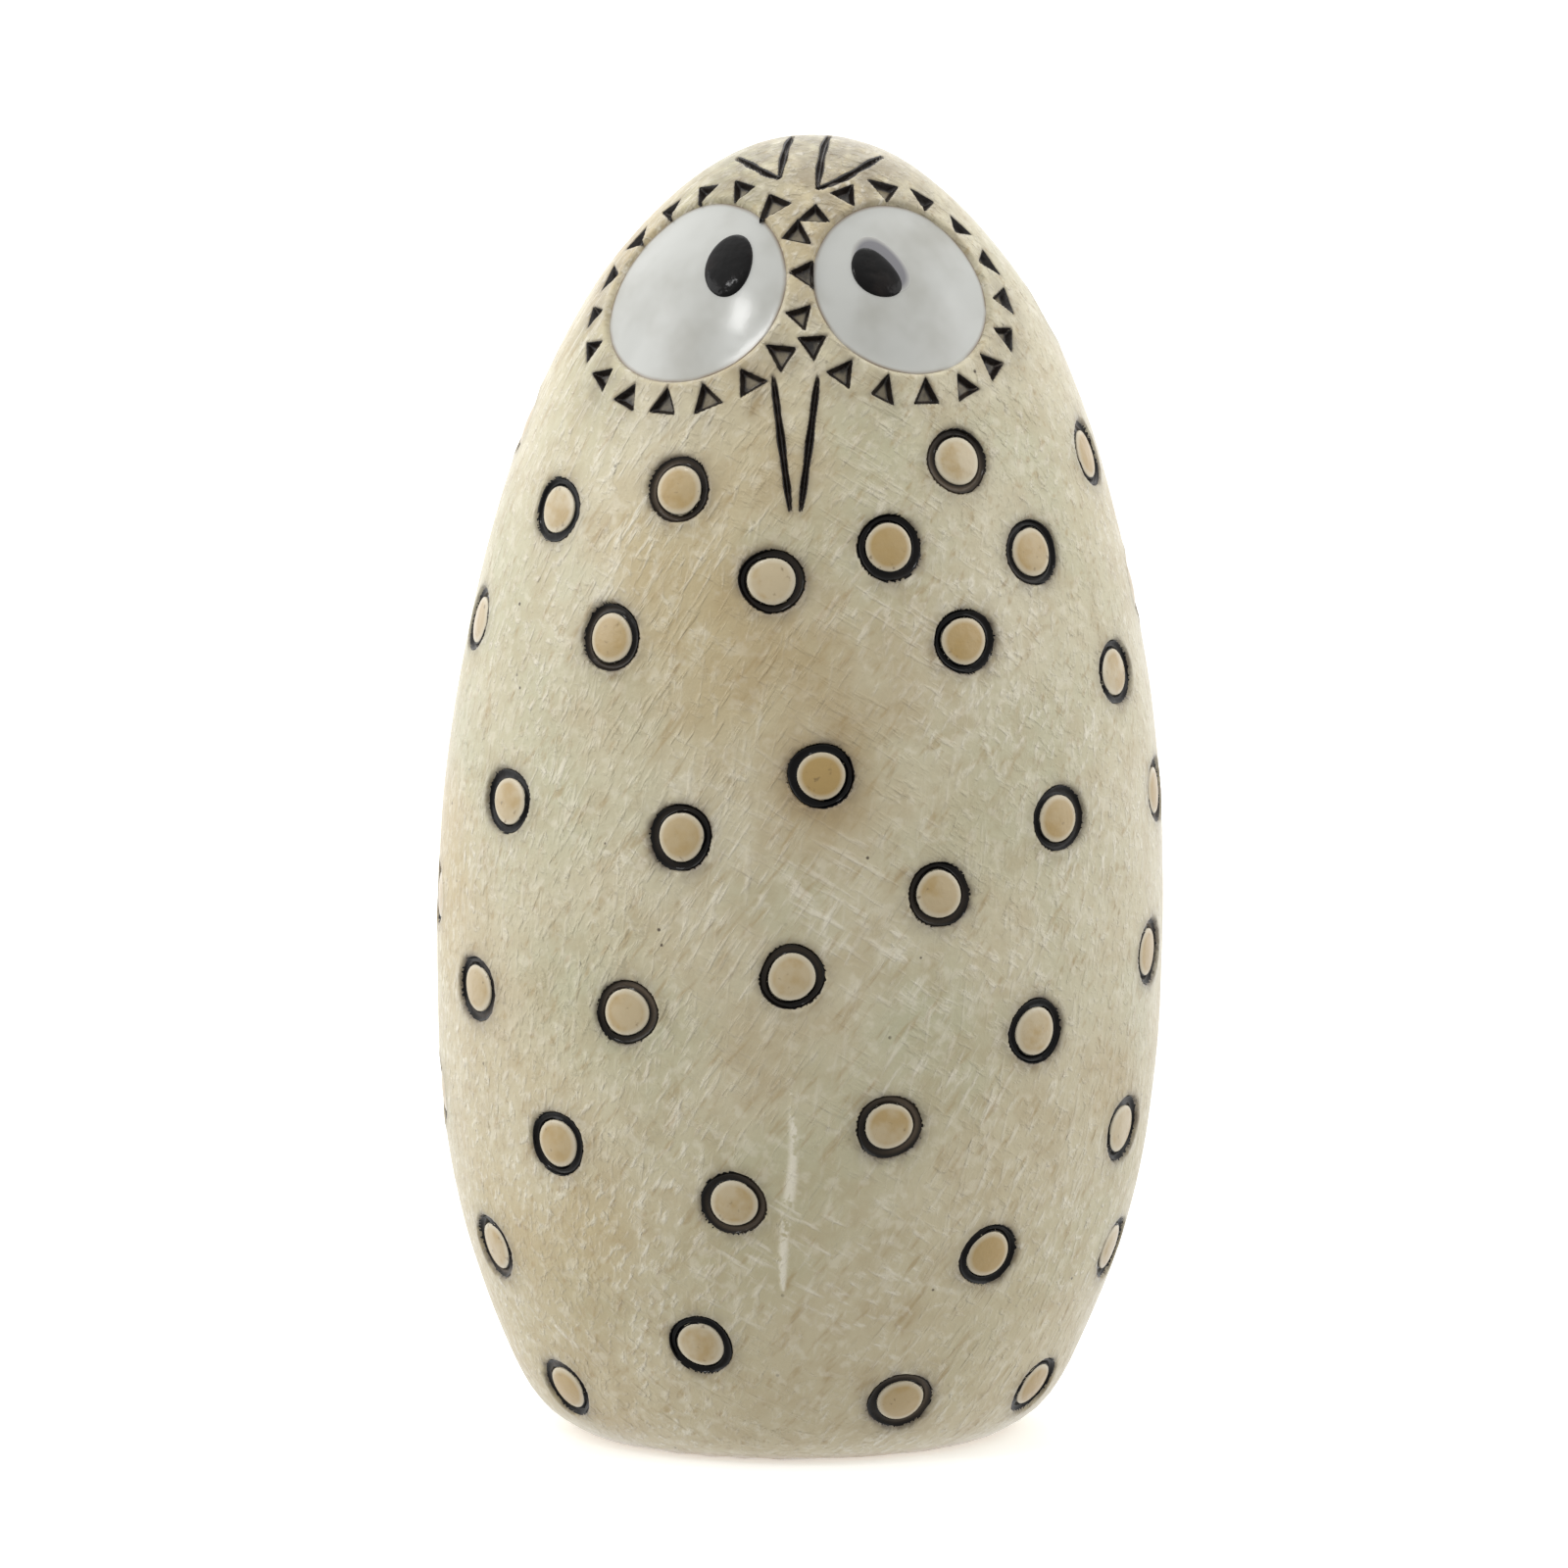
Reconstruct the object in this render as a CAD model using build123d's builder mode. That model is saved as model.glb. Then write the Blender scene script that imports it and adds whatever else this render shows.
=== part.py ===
from build123d import *

import os
from dataclasses import dataclass
from math import cos, radians, sin, tan

os.makedirs("parts", exist_ok=True)

# A hand-decorated ceramic owl: one hollow fired casting with stamped spots, carved notches and cuts,
# each filled with its own glaze or enamel. Millimetres, +Z up. The owl looks along -Y, and left and
# right are the owl's own, so its left side is +X. The origin is under the middle of the figure, at
# the level of its foot.

# ------------------------------------------------------------------ the casting
figure_height = 115.0
figure_width = 64.0
figure_depth = 55.0
foot_width = 37.0  # across the flat that it stands on
turn_out, turn_up = 0.51, 0.29  # how the side rounds out of the foot, as shares of its first rise
lean = 0.015  # sideways drift to the owl's left for each millimetre of height
wall = 4.5  # thickness of the cast clay
vent_diameter = 3.5  # hole pierced in the foot so that the hollow can breathe in the kiln

# The outline, from the foot to the crown, as (share of the half width, share of the height)
outline = [
    (0.790, 0.065),
    (0.911, 0.157),
    (1.000, 0.363),
    (0.967, 0.545),
    (0.831, 0.728),
    (0.635, 0.864),
    (0.428, 0.941),
    (0.210, 0.987),
    (0.100, 0.997),
    (0.030, 1.000),
]
girth_share = 0.37  # height of the widest place, which the lean leaves where it is

# ------------------------------------------------------------------ stamped spots
ring_outer_diameter = 5.8
ring_inner_diameter = 4.1
ring_recess = 0.35  # from the skin down to the top of the enamel in a ring
dot_crown = 0.12  # a dot is this much higher in the middle than at its rim

# ------------------------------------------------------------------ eyes
eye_spread = 0.93  # share of an eye's radius that shows from straight ahead, as the face curves away
eye_recess = 0.45  # from the skin down to the white enamel
eye_depth = 1.3  # from the skin down to the floor under the enamel
pupil_rise = 0.35  # the pupil stands this much above the white
pupil_seat = 0.45  # and reaches this much into it
halo_thickness = 0.2

# ------------------------------------------------------------------ carved notches and cuts
notch_side = 2.6  # edge of a triangular notch at the skin
notch_depth = 0.7
notch_slope = 33.0  # lean of a notch's walls, degrees from upright
notch_fill = 0.3  # thickness of the stain pooled in a notch
notch_gap = 0.8  # clay between an eye and its notches
bridge_clearance = 0.7  # clay on each side of a notch between the two eyes
eye_bridge = notch_side + 2 * bridge_clearance
cut_width = 0.75  # beak and tuft cuts
cut_depth = 0.8
cut_fill = 0.4  # thickness of the stain pooled in a cut
beak_length = 11.3
beak_width = 3.9  # between the tops of the two beak cuts
beak_tip_gap = 0.9  # between their lower ends
beak_shift = -0.4  # the beak sits a little to the owl's right
beak_gap = 0.6  # clay between the lowest notch over the beak and the beak

reach_out = 1.5  # how far a cutting tool stands out of the skin
reach_in = 3.0  # how far a deep tool goes under the skin


@dataclass
class Eye:
    """One eye: its size and place, its pupil and the ring of notches around it."""

    name: str
    side: int  # +1 on the owl's left, -1 on its right
    diameter: float
    drop: float  # from the crown down to the eye's middle
    pupil_at: tuple  # from the eye's middle: towards the owl's left, up
    pupil_size: tuple  # half length, half width
    pupil_turn: float
    notch_count: int
    notch_start: float  # bearing of the first notch round the eye; the owl's left is 0, up is 90
    notch_step: float

    def plane(self):
        middle = self.side * (eye_bridge / 2 + eye_spread * self.diameter / 2)
        return skin_plane((middle, 0, figure_height - self.drop), (0, -1, 0))


left_eye = Eye("left", 1, 16.0, 11.4, (-2.4, 1.7), (2.6, 1.85), -60, 14, 128, -22.0)
right_eye = Eye("right", -1, 17.0, 11.9, (3.0, 3.0), (3.1, 2.1), 97, 17, 62.5, 21.2)

halo_size = (2.9, 2.4)  # pale grey wash beside the left pupil: half length, half width
halo_shift = (0.5, 0.7)  # from the pupil's middle: towards the owl's left, up

# ------------------------------------------------------------------ where the spots are
# Each spot is (bearing, level). A bearing of 0 is straight ahead, and positive ones turn to the owl's
# left. A level is in hundredths of the height of the plumage, which ends under the notches.
spot_tiers = {
    "nape": [(97, 107), (134, 110), (171, 106), (-152, 109), (-115, 106)],
    "collar": [(37, 96.5), (78, 95), (112, 93), (147, 97), (-176, 94), (-142, 98), (-91, 97)],
    "shoulder": [(-28, 94), (-59, 91), (19, 89), (51, 87.5), (132, 83), (163, 84), (-155, 83), (-118, 87)],
    "upper_breast": [(-6, 86), (90, 81.5), (-80, 79), (-39, 80), (33, 80), (69, 75)],
    "mantle": [(112, 71), (146, 70), (-178, 72), (-132, 72), (-104, 68)],
    "lower_breast": [(4, 68), (-59, 63.5), (82, 62.5), (50, 62.5), (-22, 62)],
    "back": [(124, 58), (158, 57), (-163, 59), (-141, 54), (-113, 55), (-86, 52)],
    "belly": [(25.5, 56.5), (76, 47.5), (-1.5, 49), (-66, 45), (-32, 45), (44.5, 42.5)],
    "rump": [(104, 43), (136, 44), (172, 44), (-150, 40), (-122, 41), (-101, 42)],
    "flank": [(-87, 33), (16.5, 34.5), (69.5, 31), (-47, 31.5), (-12.5, 27)],
    "tail": [(99, 28), (122, 30), (154, 31), (-174, 29), (-138, 27), (-113, 24)],
    "skirt": [(-69, 19.5), (77.5, 18.5), (38.5, 21), (112, 15), (139, 18), (168, 15), (-158, 16)],
    "hem": [(-21.5, 12.5), (64, 6), (24.5, 6.5), (-60, 6), (98, 7), (153, 5.5), (-175, 6), (-128, 9)],
}


# ------------------------------------------------------------------ the skin and its layers
foot_share = foot_width / figure_width
flank_share, flank_level = outline[0]
foot_turn = (foot_share + turn_out * (flank_share - foot_share), turn_up * flank_level)
sections = [(foot_share, 0), foot_turn, *outline]


def layer(inset):
    """The figure's closed outline, shrunk by inset all round: 0 gives the skin itself."""
    with BuildPart() as shape:
        for across, up in sections:
            height = inset + up * (figure_height - 2 * inset)
            with BuildSketch(Plane.XY.offset(height)):
                with Locations((lean * (height - girth_share * figure_height), 0)):
                    Ellipse(across * (figure_width / 2 - inset), across * (figure_depth / 2 - inset))
        loft()
    return shape.part


skin = layer(0)
skin_face = skin.faces().sort_by(SortBy.AREA)[-1]


def skin_plane(start, direction, turn=0):
    """The plane on the skin where a line from start comes out, with its x level and turned by turn."""
    axis = Axis(start, direction)
    hits = skin_face.find_intersection_points(axis)
    point, normal = max(hits, key=lambda hit: (hit[0] - axis.position).dot(axis.direction))
    if normal.dot(axis.direction) < 0:
        normal = -normal
    level = Vector(0, 0, 1).cross(normal)
    return Plane(origin=point, x_dir=level, z_dir=normal).rotated((0, 0, turn))


def spot_plane(bearing, level):
    """The plane of a spot: a line from the figure's axis, at a bearing and a level of the plumage."""
    height = plumage_height * level / 100
    return skin_plane((0, 0, height), (sin(radians(bearing)), -cos(radians(bearing)), 0))


def notch_planes(eye):
    """The planes of the notches round an eye, each with its x pointing at the eye's middle."""
    face = eye.plane()
    radius = eye.diameter / 2 + notch_gap + notch_side / 2
    planes = []
    for index in range(eye.notch_count):
        bearing = eye.notch_start + index * eye.notch_step
        start = face.from_local_coords(Vector(radius, 0, -reach_in).rotate(Axis.Z, bearing))
        on_skin = skin_plane(start, face.z_dir)
        inwards = (face.origin - on_skin.origin).normalized()
        inwards = inwards - on_skin.z_dir * inwards.dot(on_skin.z_dir)
        planes.append(Plane(origin=on_skin.origin, x_dir=inwards, z_dir=on_skin.z_dir))
    return planes


def write(piece, name):
    """Label a finished piece and write it as its own STEP file."""
    piece.label = name
    export_step(piece, f"parts/{name}.step")


eyes = (left_eye, right_eye)
notches = {eye.name: notch_planes(eye) for eye in eyes}
lowest_notch = min(plane.origin.Z for eye in eyes for plane in notches[eye.name])
plumage_height = lowest_notch - notch_side / 2
spots = {tier: [spot_plane(*spot) for spot in places] for tier, places in spot_tiers.items()}

# ------------------------------------------------------------------ one spot, made at the origin
ring_middle = (ring_outer_diameter + ring_inner_diameter) / 4
groove_radius = (ring_outer_diameter - ring_inner_diameter) / 4

with BuildPart() as ring:
    with BuildSketch(Plane.XZ):
        with Locations((ring_middle, -ring_recess)):
            Circle(groove_radius)
            Rectangle(3 * groove_radius, 3 * groove_radius, align=(Align.CENTER, Align.MIN), mode=Mode.SUBTRACT)
    revolve(axis=Axis.Z)

with BuildPart() as dot:
    with BuildSketch(Plane.XZ):
        with BuildLine():
            crown = TangentArc((0, 0), (ring_inner_diameter / 2, -dot_crown), tangent=(1, 0))
            Polyline(crown @ 1, (ring_inner_diameter / 2, -ring_recess), (0, -ring_recess), (0, 0))
        make_face()
    revolve(axis=Axis.Z)

with BuildPart() as stamp:
    add(ring.part)
    with BuildSketch(Plane.XY.offset(-ring_recess)):
        Circle(ring_outer_diameter / 2)
    extrude(amount=ring_recess + reach_out)

# ------------------------------------------------------------------ one notch, made at the origin
floor_side = notch_side - 2 * notch_depth * tan(radians(notch_slope)) * 3**0.5
with BuildPart() as notch:
    with BuildSketch(Plane.XY.offset(-notch_depth)):
        RegularPolygon(floor_side / 3**0.5, 3)
    extrude(amount=notch_depth + reach_out, taper=-notch_slope)

with BuildPart() as notch_stain:
    with BuildSketch(Plane.XY.offset(-notch_depth)):
        RegularPolygon(floor_side / 3**0.5, 3)
    extrude(amount=notch_fill, taper=-notch_slope)

# ------------------------------------------------------------------ the beak and tuft cuts
over_beak = (beak_width + notch_side) / 2
bridge_notch = min(
    plane.origin.Z
    for plane in notches["left"] + notches["right"]
    if abs(plane.origin.X - beak_shift) < over_beak
)
beak_top = bridge_notch - notch_side / 2 - beak_gap
beak_tip = beak_top - beak_length
cuts = {}
for name, side in (("left_beak", 1), ("right_beak", -1)):
    with BuildPart() as cut:
        with BuildSketch(Plane.XZ):
            with BuildLine():
                top, tip = (beak_shift + side * gap / 2 for gap in (beak_width, beak_tip_gap))
                Line((top, beak_top), (tip, beak_tip))
            trace(line_width=cut_width)
        extrude(amount=figure_depth)
    cuts[name] = cut.part

# Each tuft is a V that opens backwards over the crown: its point, then the end of each stroke
tufts = {
    "left_tuft": [(7.3, -2.2), (4.7, -6.4), (1.5, -8.6), (2.6, 0.6)],
    "right_tuft": [(-5.6, -2.0), (-3.8, -5.4), (-1.8, -7.3), (-0.6, 0.8)],
}
for name, strokes in tufts.items():
    with BuildPart() as cut:
        with BuildSketch(Plane.XY.offset(figure_height / 2)):
            with BuildLine():
                Polyline(*strokes)
            trace(line_width=cut_width)
        extrude(amount=figure_height)
    cuts[name] = cut.part

# ------------------------------------------------------------------ eyes: pool, white, pupil
enamel_top = layer(eye_recess)
enamel_floor = layer(eye_depth)
pupil_top = layer(eye_recess - pupil_rise)
pupil_floor = layer(eye_recess + pupil_seat)
halo_floor = layer(eye_recess + halo_thickness)
eye_pools = {}
for eye in eyes:
    tool_plane = eye.plane().offset(-2 * reach_in)
    with BuildPart() as pool:
        with BuildSketch(tool_plane):
            Circle(eye.diameter / 2)
        extrude(amount=2 * reach_in + reach_out)
        add(enamel_floor, mode=Mode.SUBTRACT)
    eye_pools[eye.name] = pool.part
    with BuildPart() as pupil:
        with BuildSketch(tool_plane):
            with Locations(Location(eye.pupil_at, eye.pupil_turn)):
                Ellipse(*eye.pupil_size)
        extrude(amount=2 * reach_in + reach_out)
        add(pupil_floor, mode=Mode.SUBTRACT)
    with BuildPart() as white:
        add(pool.part)
        add(enamel_top, mode=Mode.INTERSECT)
        add(pupil.part, mode=Mode.SUBTRACT)
    if eye is left_eye:
        with BuildPart() as halo:
            with BuildSketch(tool_plane):
                shifted = [at + shift for at, shift in zip(eye.pupil_at, halo_shift)]
                with Locations(Location(tuple(shifted), eye.pupil_turn)):
                    Ellipse(*halo_size)
                with Locations(Location(eye.pupil_at, eye.pupil_turn)):
                    Ellipse(*eye.pupil_size, mode=Mode.SUBTRACT)
            extrude(amount=2 * reach_in + reach_out)
            add(enamel_top, mode=Mode.INTERSECT)
            add(halo_floor, mode=Mode.SUBTRACT)
        with BuildPart() as holed_white:
            add(white.part)
            add(halo.part, mode=Mode.SUBTRACT)
        white = holed_white
        write(halo.part, "left_pupil_halo")
    with BuildPart() as raised_pupil:
        add(pupil.part)
        add(pupil_top, mode=Mode.INTERSECT)
    write(white.part, f"{eye.name}_eye_enamel")
    write(raised_pupil.part, f"{eye.name}_pupil")

# ------------------------------------------------------------------ the clay casting
with BuildPart() as body_casting:
    add(skin)
    add(layer(wall), mode=Mode.SUBTRACT)
    with BuildSketch(Plane.XY):
        Circle(vent_diameter / 2)
    extrude(amount=wall + reach_out, mode=Mode.SUBTRACT)
    for pool in eye_pools.values():
        add(pool, mode=Mode.SUBTRACT)
    for cut in cuts.values():
        add(cut - layer(cut_depth), mode=Mode.SUBTRACT)
    with Locations(*[plane for planes in notches.values() for plane in planes]):
        add(notch.part, mode=Mode.SUBTRACT)
    with Locations(*[plane for planes in spots.values() for plane in planes]):
        add(stamp.part, mode=Mode.SUBTRACT)
write(body_casting.part, "body_casting")

# ------------------------------------------------------------------ the glazes in their recesses
stain_top = layer(cut_depth - cut_fill)
stain_floor = layer(cut_depth)
for name, cut in cuts.items():
    with BuildPart() as stain:
        add(cut)
        add(stain_top, mode=Mode.INTERSECT)
        add(stain_floor, mode=Mode.SUBTRACT)
    write(stain.part, f"{name}_stain")

for name, planes in notches.items():
    with BuildPart() as stains:
        with Locations(*planes):
            add(notch_stain.part)
    write(stains.part, f"{name}_notch_stains")

for tier, planes in spots.items():
    with BuildPart() as rings:
        with Locations(*planes):
            add(ring.part)
    write(rings.part, f"{tier}_rings")
    with BuildPart() as dots:
        with Locations(*planes):
            add(dot.part)
    write(dots.part, f"{tier}_dots")
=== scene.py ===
"""A hand-decorated ceramic owl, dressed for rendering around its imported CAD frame.

The clay casting is carved on a fine skin mesh; the enamel rings, the ochre dots, the eyes and the
stains in the notches and cuts are pieces of their own, placed from the frame's nodes. Sizes are in
millimetres until a mesh is written, in metres.
"""

from __future__ import annotations

import logging
import math
from dataclasses import dataclass, field
from enum import Enum
from typing import Iterable, Sequence

import bmesh
import bpy
import numpy as np
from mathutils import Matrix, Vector


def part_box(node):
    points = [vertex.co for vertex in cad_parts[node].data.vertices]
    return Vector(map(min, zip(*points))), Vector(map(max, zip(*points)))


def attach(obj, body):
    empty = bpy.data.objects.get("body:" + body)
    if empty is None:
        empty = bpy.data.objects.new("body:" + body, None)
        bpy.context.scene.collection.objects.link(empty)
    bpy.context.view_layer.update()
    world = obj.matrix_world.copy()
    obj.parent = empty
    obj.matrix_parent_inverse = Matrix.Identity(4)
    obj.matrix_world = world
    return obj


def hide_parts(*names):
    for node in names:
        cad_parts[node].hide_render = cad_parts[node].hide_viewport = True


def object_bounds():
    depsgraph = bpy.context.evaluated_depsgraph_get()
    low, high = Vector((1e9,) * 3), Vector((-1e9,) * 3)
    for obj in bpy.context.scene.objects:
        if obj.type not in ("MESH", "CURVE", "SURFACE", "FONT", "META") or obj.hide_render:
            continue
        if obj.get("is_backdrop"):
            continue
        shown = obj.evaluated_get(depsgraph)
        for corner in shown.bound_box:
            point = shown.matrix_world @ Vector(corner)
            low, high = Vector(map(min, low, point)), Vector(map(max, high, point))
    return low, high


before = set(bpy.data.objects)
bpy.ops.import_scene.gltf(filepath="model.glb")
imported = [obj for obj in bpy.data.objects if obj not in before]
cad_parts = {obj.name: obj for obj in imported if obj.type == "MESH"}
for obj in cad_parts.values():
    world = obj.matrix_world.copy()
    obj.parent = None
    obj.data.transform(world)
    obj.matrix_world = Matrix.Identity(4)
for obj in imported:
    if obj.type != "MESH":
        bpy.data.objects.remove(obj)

LOG = logging.getLogger("owl")
MM = 0.001
Array = np.ndarray
SEED = 20


# ---------------------------------------------------------------------------------- small helpers


def smoothstep(low: float, high: float, value: Array) -> Array:
    """Rise smoothly from 0 at low to 1 at high."""
    share = np.clip((value - low) / (high - low), 0.0, 1.0)
    return share * share * (3.0 - 2.0 * share)


def unit(vectors: Array) -> Array:
    """Vectors of the same directions and length 1."""
    return vectors / np.maximum(np.linalg.norm(vectors, axis=-1, keepdims=True), 1e-12)


def waves(points: Array, size: float, seed: int) -> Array:
    """Smooth irregular waves from about -1 to 1, for surfaces worked by hand.

    Args:
        points: places in millimetres.
        size: the typical length of a wave in millimetres.
        seed: picks one pattern of waves.

    Returns:
        One value for each point.
    """
    random = np.random.default_rng(seed)
    directions = unit(random.normal(size=(9, 3)))
    lengths = size * random.uniform(0.7, 1.5, 9)
    phases = random.uniform(0, 2 * math.pi, 9)
    angles = points @ directions.T * (2 * math.pi / lengths) + phases
    return np.sin(angles).sum(axis=1) / 4.0


def bulge(height: Array, power: float) -> Array:
    """Make a unit ball's heights fuller at the side, the smaller the power, the flatter its top."""
    return np.sign(height) * np.abs(height) ** power


def title(node: str, piece: str) -> str:
    """The name of a piece that stands for a CAD node."""
    return f"{node} {piece}".capitalize().replace(" ", "_")


def new_object(
    name: str, bm: bmesh.types.BMesh, marks: dict[str, Array] | None = None
) -> bpy.types.Object:
    """Turn a bmesh into a smooth-shaded object at the origin.

    Args:
        name: the piece's name.
        bm: its mesh, in metres. It is freed.
        marks: point attributes by name, one value for each vertex in order.

    Returns:
        The new object, linked to the scene.
    """
    mesh = bpy.data.meshes.new(name)
    bm.to_mesh(mesh)
    bm.free()
    for mark, values in (marks or {}).items():
        layer = mesh.attributes.new(mark, "FLOAT", "POINT")
        layer.data.foreach_set("value", np.asarray(values, np.float32))
    mesh.polygons.foreach_set("use_smooth", [True] * len(mesh.polygons))
    piece = bpy.data.objects.new(name, mesh)
    bpy.context.scene.collection.objects.link(piece)
    return piece


def settle(piece: bpy.types.Object, slot: str, material: bpy.types.Material, *nodes: str) -> None:
    """Dress a piece, let it ride on the figure and stand for its CAD nodes.

    Args:
        piece: the finished piece.
        slot: not used.
        material: what it is made of.
        nodes: the CAD nodes that it replaces.
    """
    piece.data.materials.append(material)
    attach(piece, "root")
    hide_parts(*nodes)
    LOG.info("%s: %d faces", piece.name, len(piece.data.polygons))


def coordinates(verts: Iterable[bmesh.types.BMVert]) -> Array:
    """The places of vertices, one row each."""
    return np.array([vert.co[:] for vert in verts])


def move_to(verts: Iterable[bmesh.types.BMVert], points: Array) -> None:
    """Put vertices at new places.

    Args:
        verts: the vertices to move.
        points: one place for each vertex in order.
    """
    for vert, point in zip(verts, points):
        vert.co = point


def add_ball(bm: bmesh.types.BMesh, level: int) -> tuple[list[bmesh.types.BMVert], Array]:
    """Add an icosphere of radius 1 to a mesh.

    Args:
        bm: the mesh that it joins.
        level: how fine it is.

    Returns:
        Its vertices and their places.
    """
    first = len(bm.verts)
    bmesh.ops.create_icosphere(bm, subdivisions=level, radius=1.0)
    bm.verts.ensure_lookup_table()
    made = bm.verts[first:]
    return made, coordinates(made)


def islands(node: str) -> list[Array]:
    """The separate solids of a CAD node.

    Args:
        node: the node's name.

    Returns:
        For each solid its corner points in millimetres.
    """
    bm = bmesh.new()
    bm.from_mesh(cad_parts[node].data)
    bmesh.ops.remove_doubles(bm, verts=bm.verts, dist=1e-7)
    found = []
    waiting = set(bm.verts)
    for start in bm.verts:
        if start not in waiting:
            continue
        waiting.remove(start)
        queue, solid = [start], []
        while queue:
            vert = queue.pop()
            solid.append(vert.co[:])
            for edge in vert.link_edges:
                other = edge.other_vert(vert)
                if other in waiting:
                    waiting.remove(other)
                    queue.append(other)
        found.append(np.array(solid) / MM)
    bm.free()
    return sorted(found, key=lambda points: tuple(points.mean(axis=0)))


# ---------------------------------------------------------------------------------- the skin


@dataclass
class Skin:
    """The smooth outer surface of the casting, before anything is stamped or cut in it."""

    lean: float = 0.015  # sideways travel of the axis for each millimetre of height
    level_share: float = 0.37  # the level where the axis crosses the middle, as a share of the height
    foot_share: float = 37.0 / 64.0  # width of the foot as a share of the full width
    foot_round: float = 0.5
    wobble: float = 0.07  # height of the broad unevenness that hands left
    wobble_size: float = 21.0
    ripple: float = 0.03  # height of the finer unevenness
    ripple_size: float = 6.5
    inset: float = 0.08  # how far the worked surface lies inside the even skin
    slope_step: float = 0.05  # over which the outline's slope is measured
    passes: int = 12  # steps that a line takes towards the skin
    samples: int = 4000

    def __post_init__(self) -> None:
        """Take the figure's size from the frame and draw its outline."""
        low, high = (np.array(corner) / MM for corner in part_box("body_casting"))
        self.height = float(high[2])
        self.half_width = float(high[0] - low[0]) / 2
        self.half_depth = float(high[1] - low[1]) / 2
        self.squeeze = self.half_depth / self.half_width
        self.level_place = self.level_share * self.height
        foot = self.foot_share
        shares = [(0.790, 0.065), (0.911, 0.157), (1.0, 0.363), (0.967, 0.545), (0.831, 0.728)]
        shares += [(0.635, 0.864), (0.428, 0.941), (0.210, 0.987), (0.100, 0.997), (0.0, 1.0)]
        turn = (foot + 0.51 * (shares[0][0] - foot), 0.29 * shares[0][1])
        outline = np.array([(foot, 0.0), turn, *shares]) * (self.half_width, self.height)
        side = self._smooth_line(outline)[::-1]
        self.radii, self.levels = side[::-1, 0], side[::-1, 1]
        base = np.linspace((side[-1, 0], 0.0), (0.0, 0.0), 200)[1:]
        line = np.vstack([side, base])
        steps = np.r_[0.0, np.cumsum(np.linalg.norm(np.diff(line, axis=0), axis=1))]
        even = np.linspace(0.0, steps[-1], self.samples)
        self.line = np.c_[np.interp(even, steps, line[:, 0]), np.interp(even, steps, line[:, 1])]
        self._round_foot(even[1])

    @staticmethod
    def _smooth_line(knots: Array) -> Array:
        """Run a natural cubic spline through points, parametrised by the chord between them."""
        chord = np.r_[0.0, np.cumsum(np.linalg.norm(np.diff(knots, axis=0), axis=1))]
        gaps = np.diff(chord)
        count = len(knots)
        system, right = np.eye(count), np.zeros((count, 2))
        for row in range(1, count - 1):
            system[row, row - 1 : row + 2] = gaps[row - 1], 2 * (gaps[row - 1] + gaps[row]), gaps[row]
            slopes = np.diff(knots[row - 1 : row + 2], axis=0) / gaps[row - 1 : row + 1, None]
            right[row] = 6 * (slopes[1] - slopes[0])
        bends = np.linalg.solve(system, right)
        at = np.linspace(0.0, chord[-1], 3000)
        span = np.clip(np.searchsorted(chord, at, side="right") - 1, 0, count - 2)
        gap, left, rest = gaps[span, None], (at - chord[span])[:, None], (chord[span + 1] - at)[:, None]
        curve = (bends[span] * rest**3 + bends[span + 1] * left**3) / (6 * gap)
        curve += (knots[span] / gap - bends[span] * gap / 6) * rest
        return curve + (knots[span + 1] / gap - bends[span + 1] * gap / 6) * left

    def _round_foot(self, step: float) -> None:
        """Soften the corner where the side meets the foot, on an outline of even steps."""
        reach = int(3 * self.foot_round / step)
        weights = np.exp(-0.5 * (np.arange(-reach, reach + 1) * step / self.foot_round) ** 2)
        weights /= weights.sum()
        crown, middle = self.line[:1].repeat(reach, 0), self.line[-1:].repeat(reach, 0)
        padded = np.vstack([crown, self.line, middle])
        soft = np.c_[[np.convolve(padded[:, axis], weights, "valid") for axis in (0, 1)]].T
        corner = np.argmax(self.line[:, 1] <= 1e-6)
        away = np.abs(np.arange(len(self.line)) - corner) / (2 * reach)
        near = np.clip(1.5 - away, 0.0, 1.0)[:, None]
        self.line = self.line * (1 - near) + soft * near

    def on_sphere(self, directions: Array) -> Array:
        """Carry points of the unit sphere to the skin, evenly along its outline.

        Args:
            directions: points of the unit sphere; +Z becomes the crown.

        Returns:
            Places on the skin in millimetres.
        """
        polar = np.arccos(np.clip(directions[:, 2], -1.0, 1.0)) / math.pi
        at = polar * (len(self.line) - 1)
        index = np.arange(len(self.line))
        radius, level = np.interp(at, index, self.line[:, 0]), np.interp(at, index, self.line[:, 1])
        around = unit(directions[:, :2])
        shift = self.lean * (level - self.level_place)
        return np.c_[radius * around[:, 0] + shift, radius * around[:, 1] * self.squeeze, level]

    def _gap(self, points: Array) -> tuple[Array, Array]:
        """How far points lie off the skin, as a squared measure, and the way it grows."""
        level = np.clip(points[:, 2], 0.0, self.height)
        squares = self.radii**2
        across = points[:, 0] - self.lean * (points[:, 2] - self.level_place)
        deep = points[:, 1] / self.squeeze
        step = self.slope_step
        limit = np.interp(level, self.levels, squares)
        above = np.interp(np.minimum(level + step, self.height), self.levels, squares)
        below = np.interp(np.maximum(level - step, 0.0), self.levels, squares)
        rise = np.minimum(level + step, self.height) - np.maximum(level - step, 0.0)
        slope = (above - below) / rise
        limit = limit + slope * (points[:, 2] - level)
        grow = np.c_[2 * across, 2 * deep / self.squeeze, -slope - 2 * across * self.lean]
        return across**2 + deep**2 - limit, grow

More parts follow.
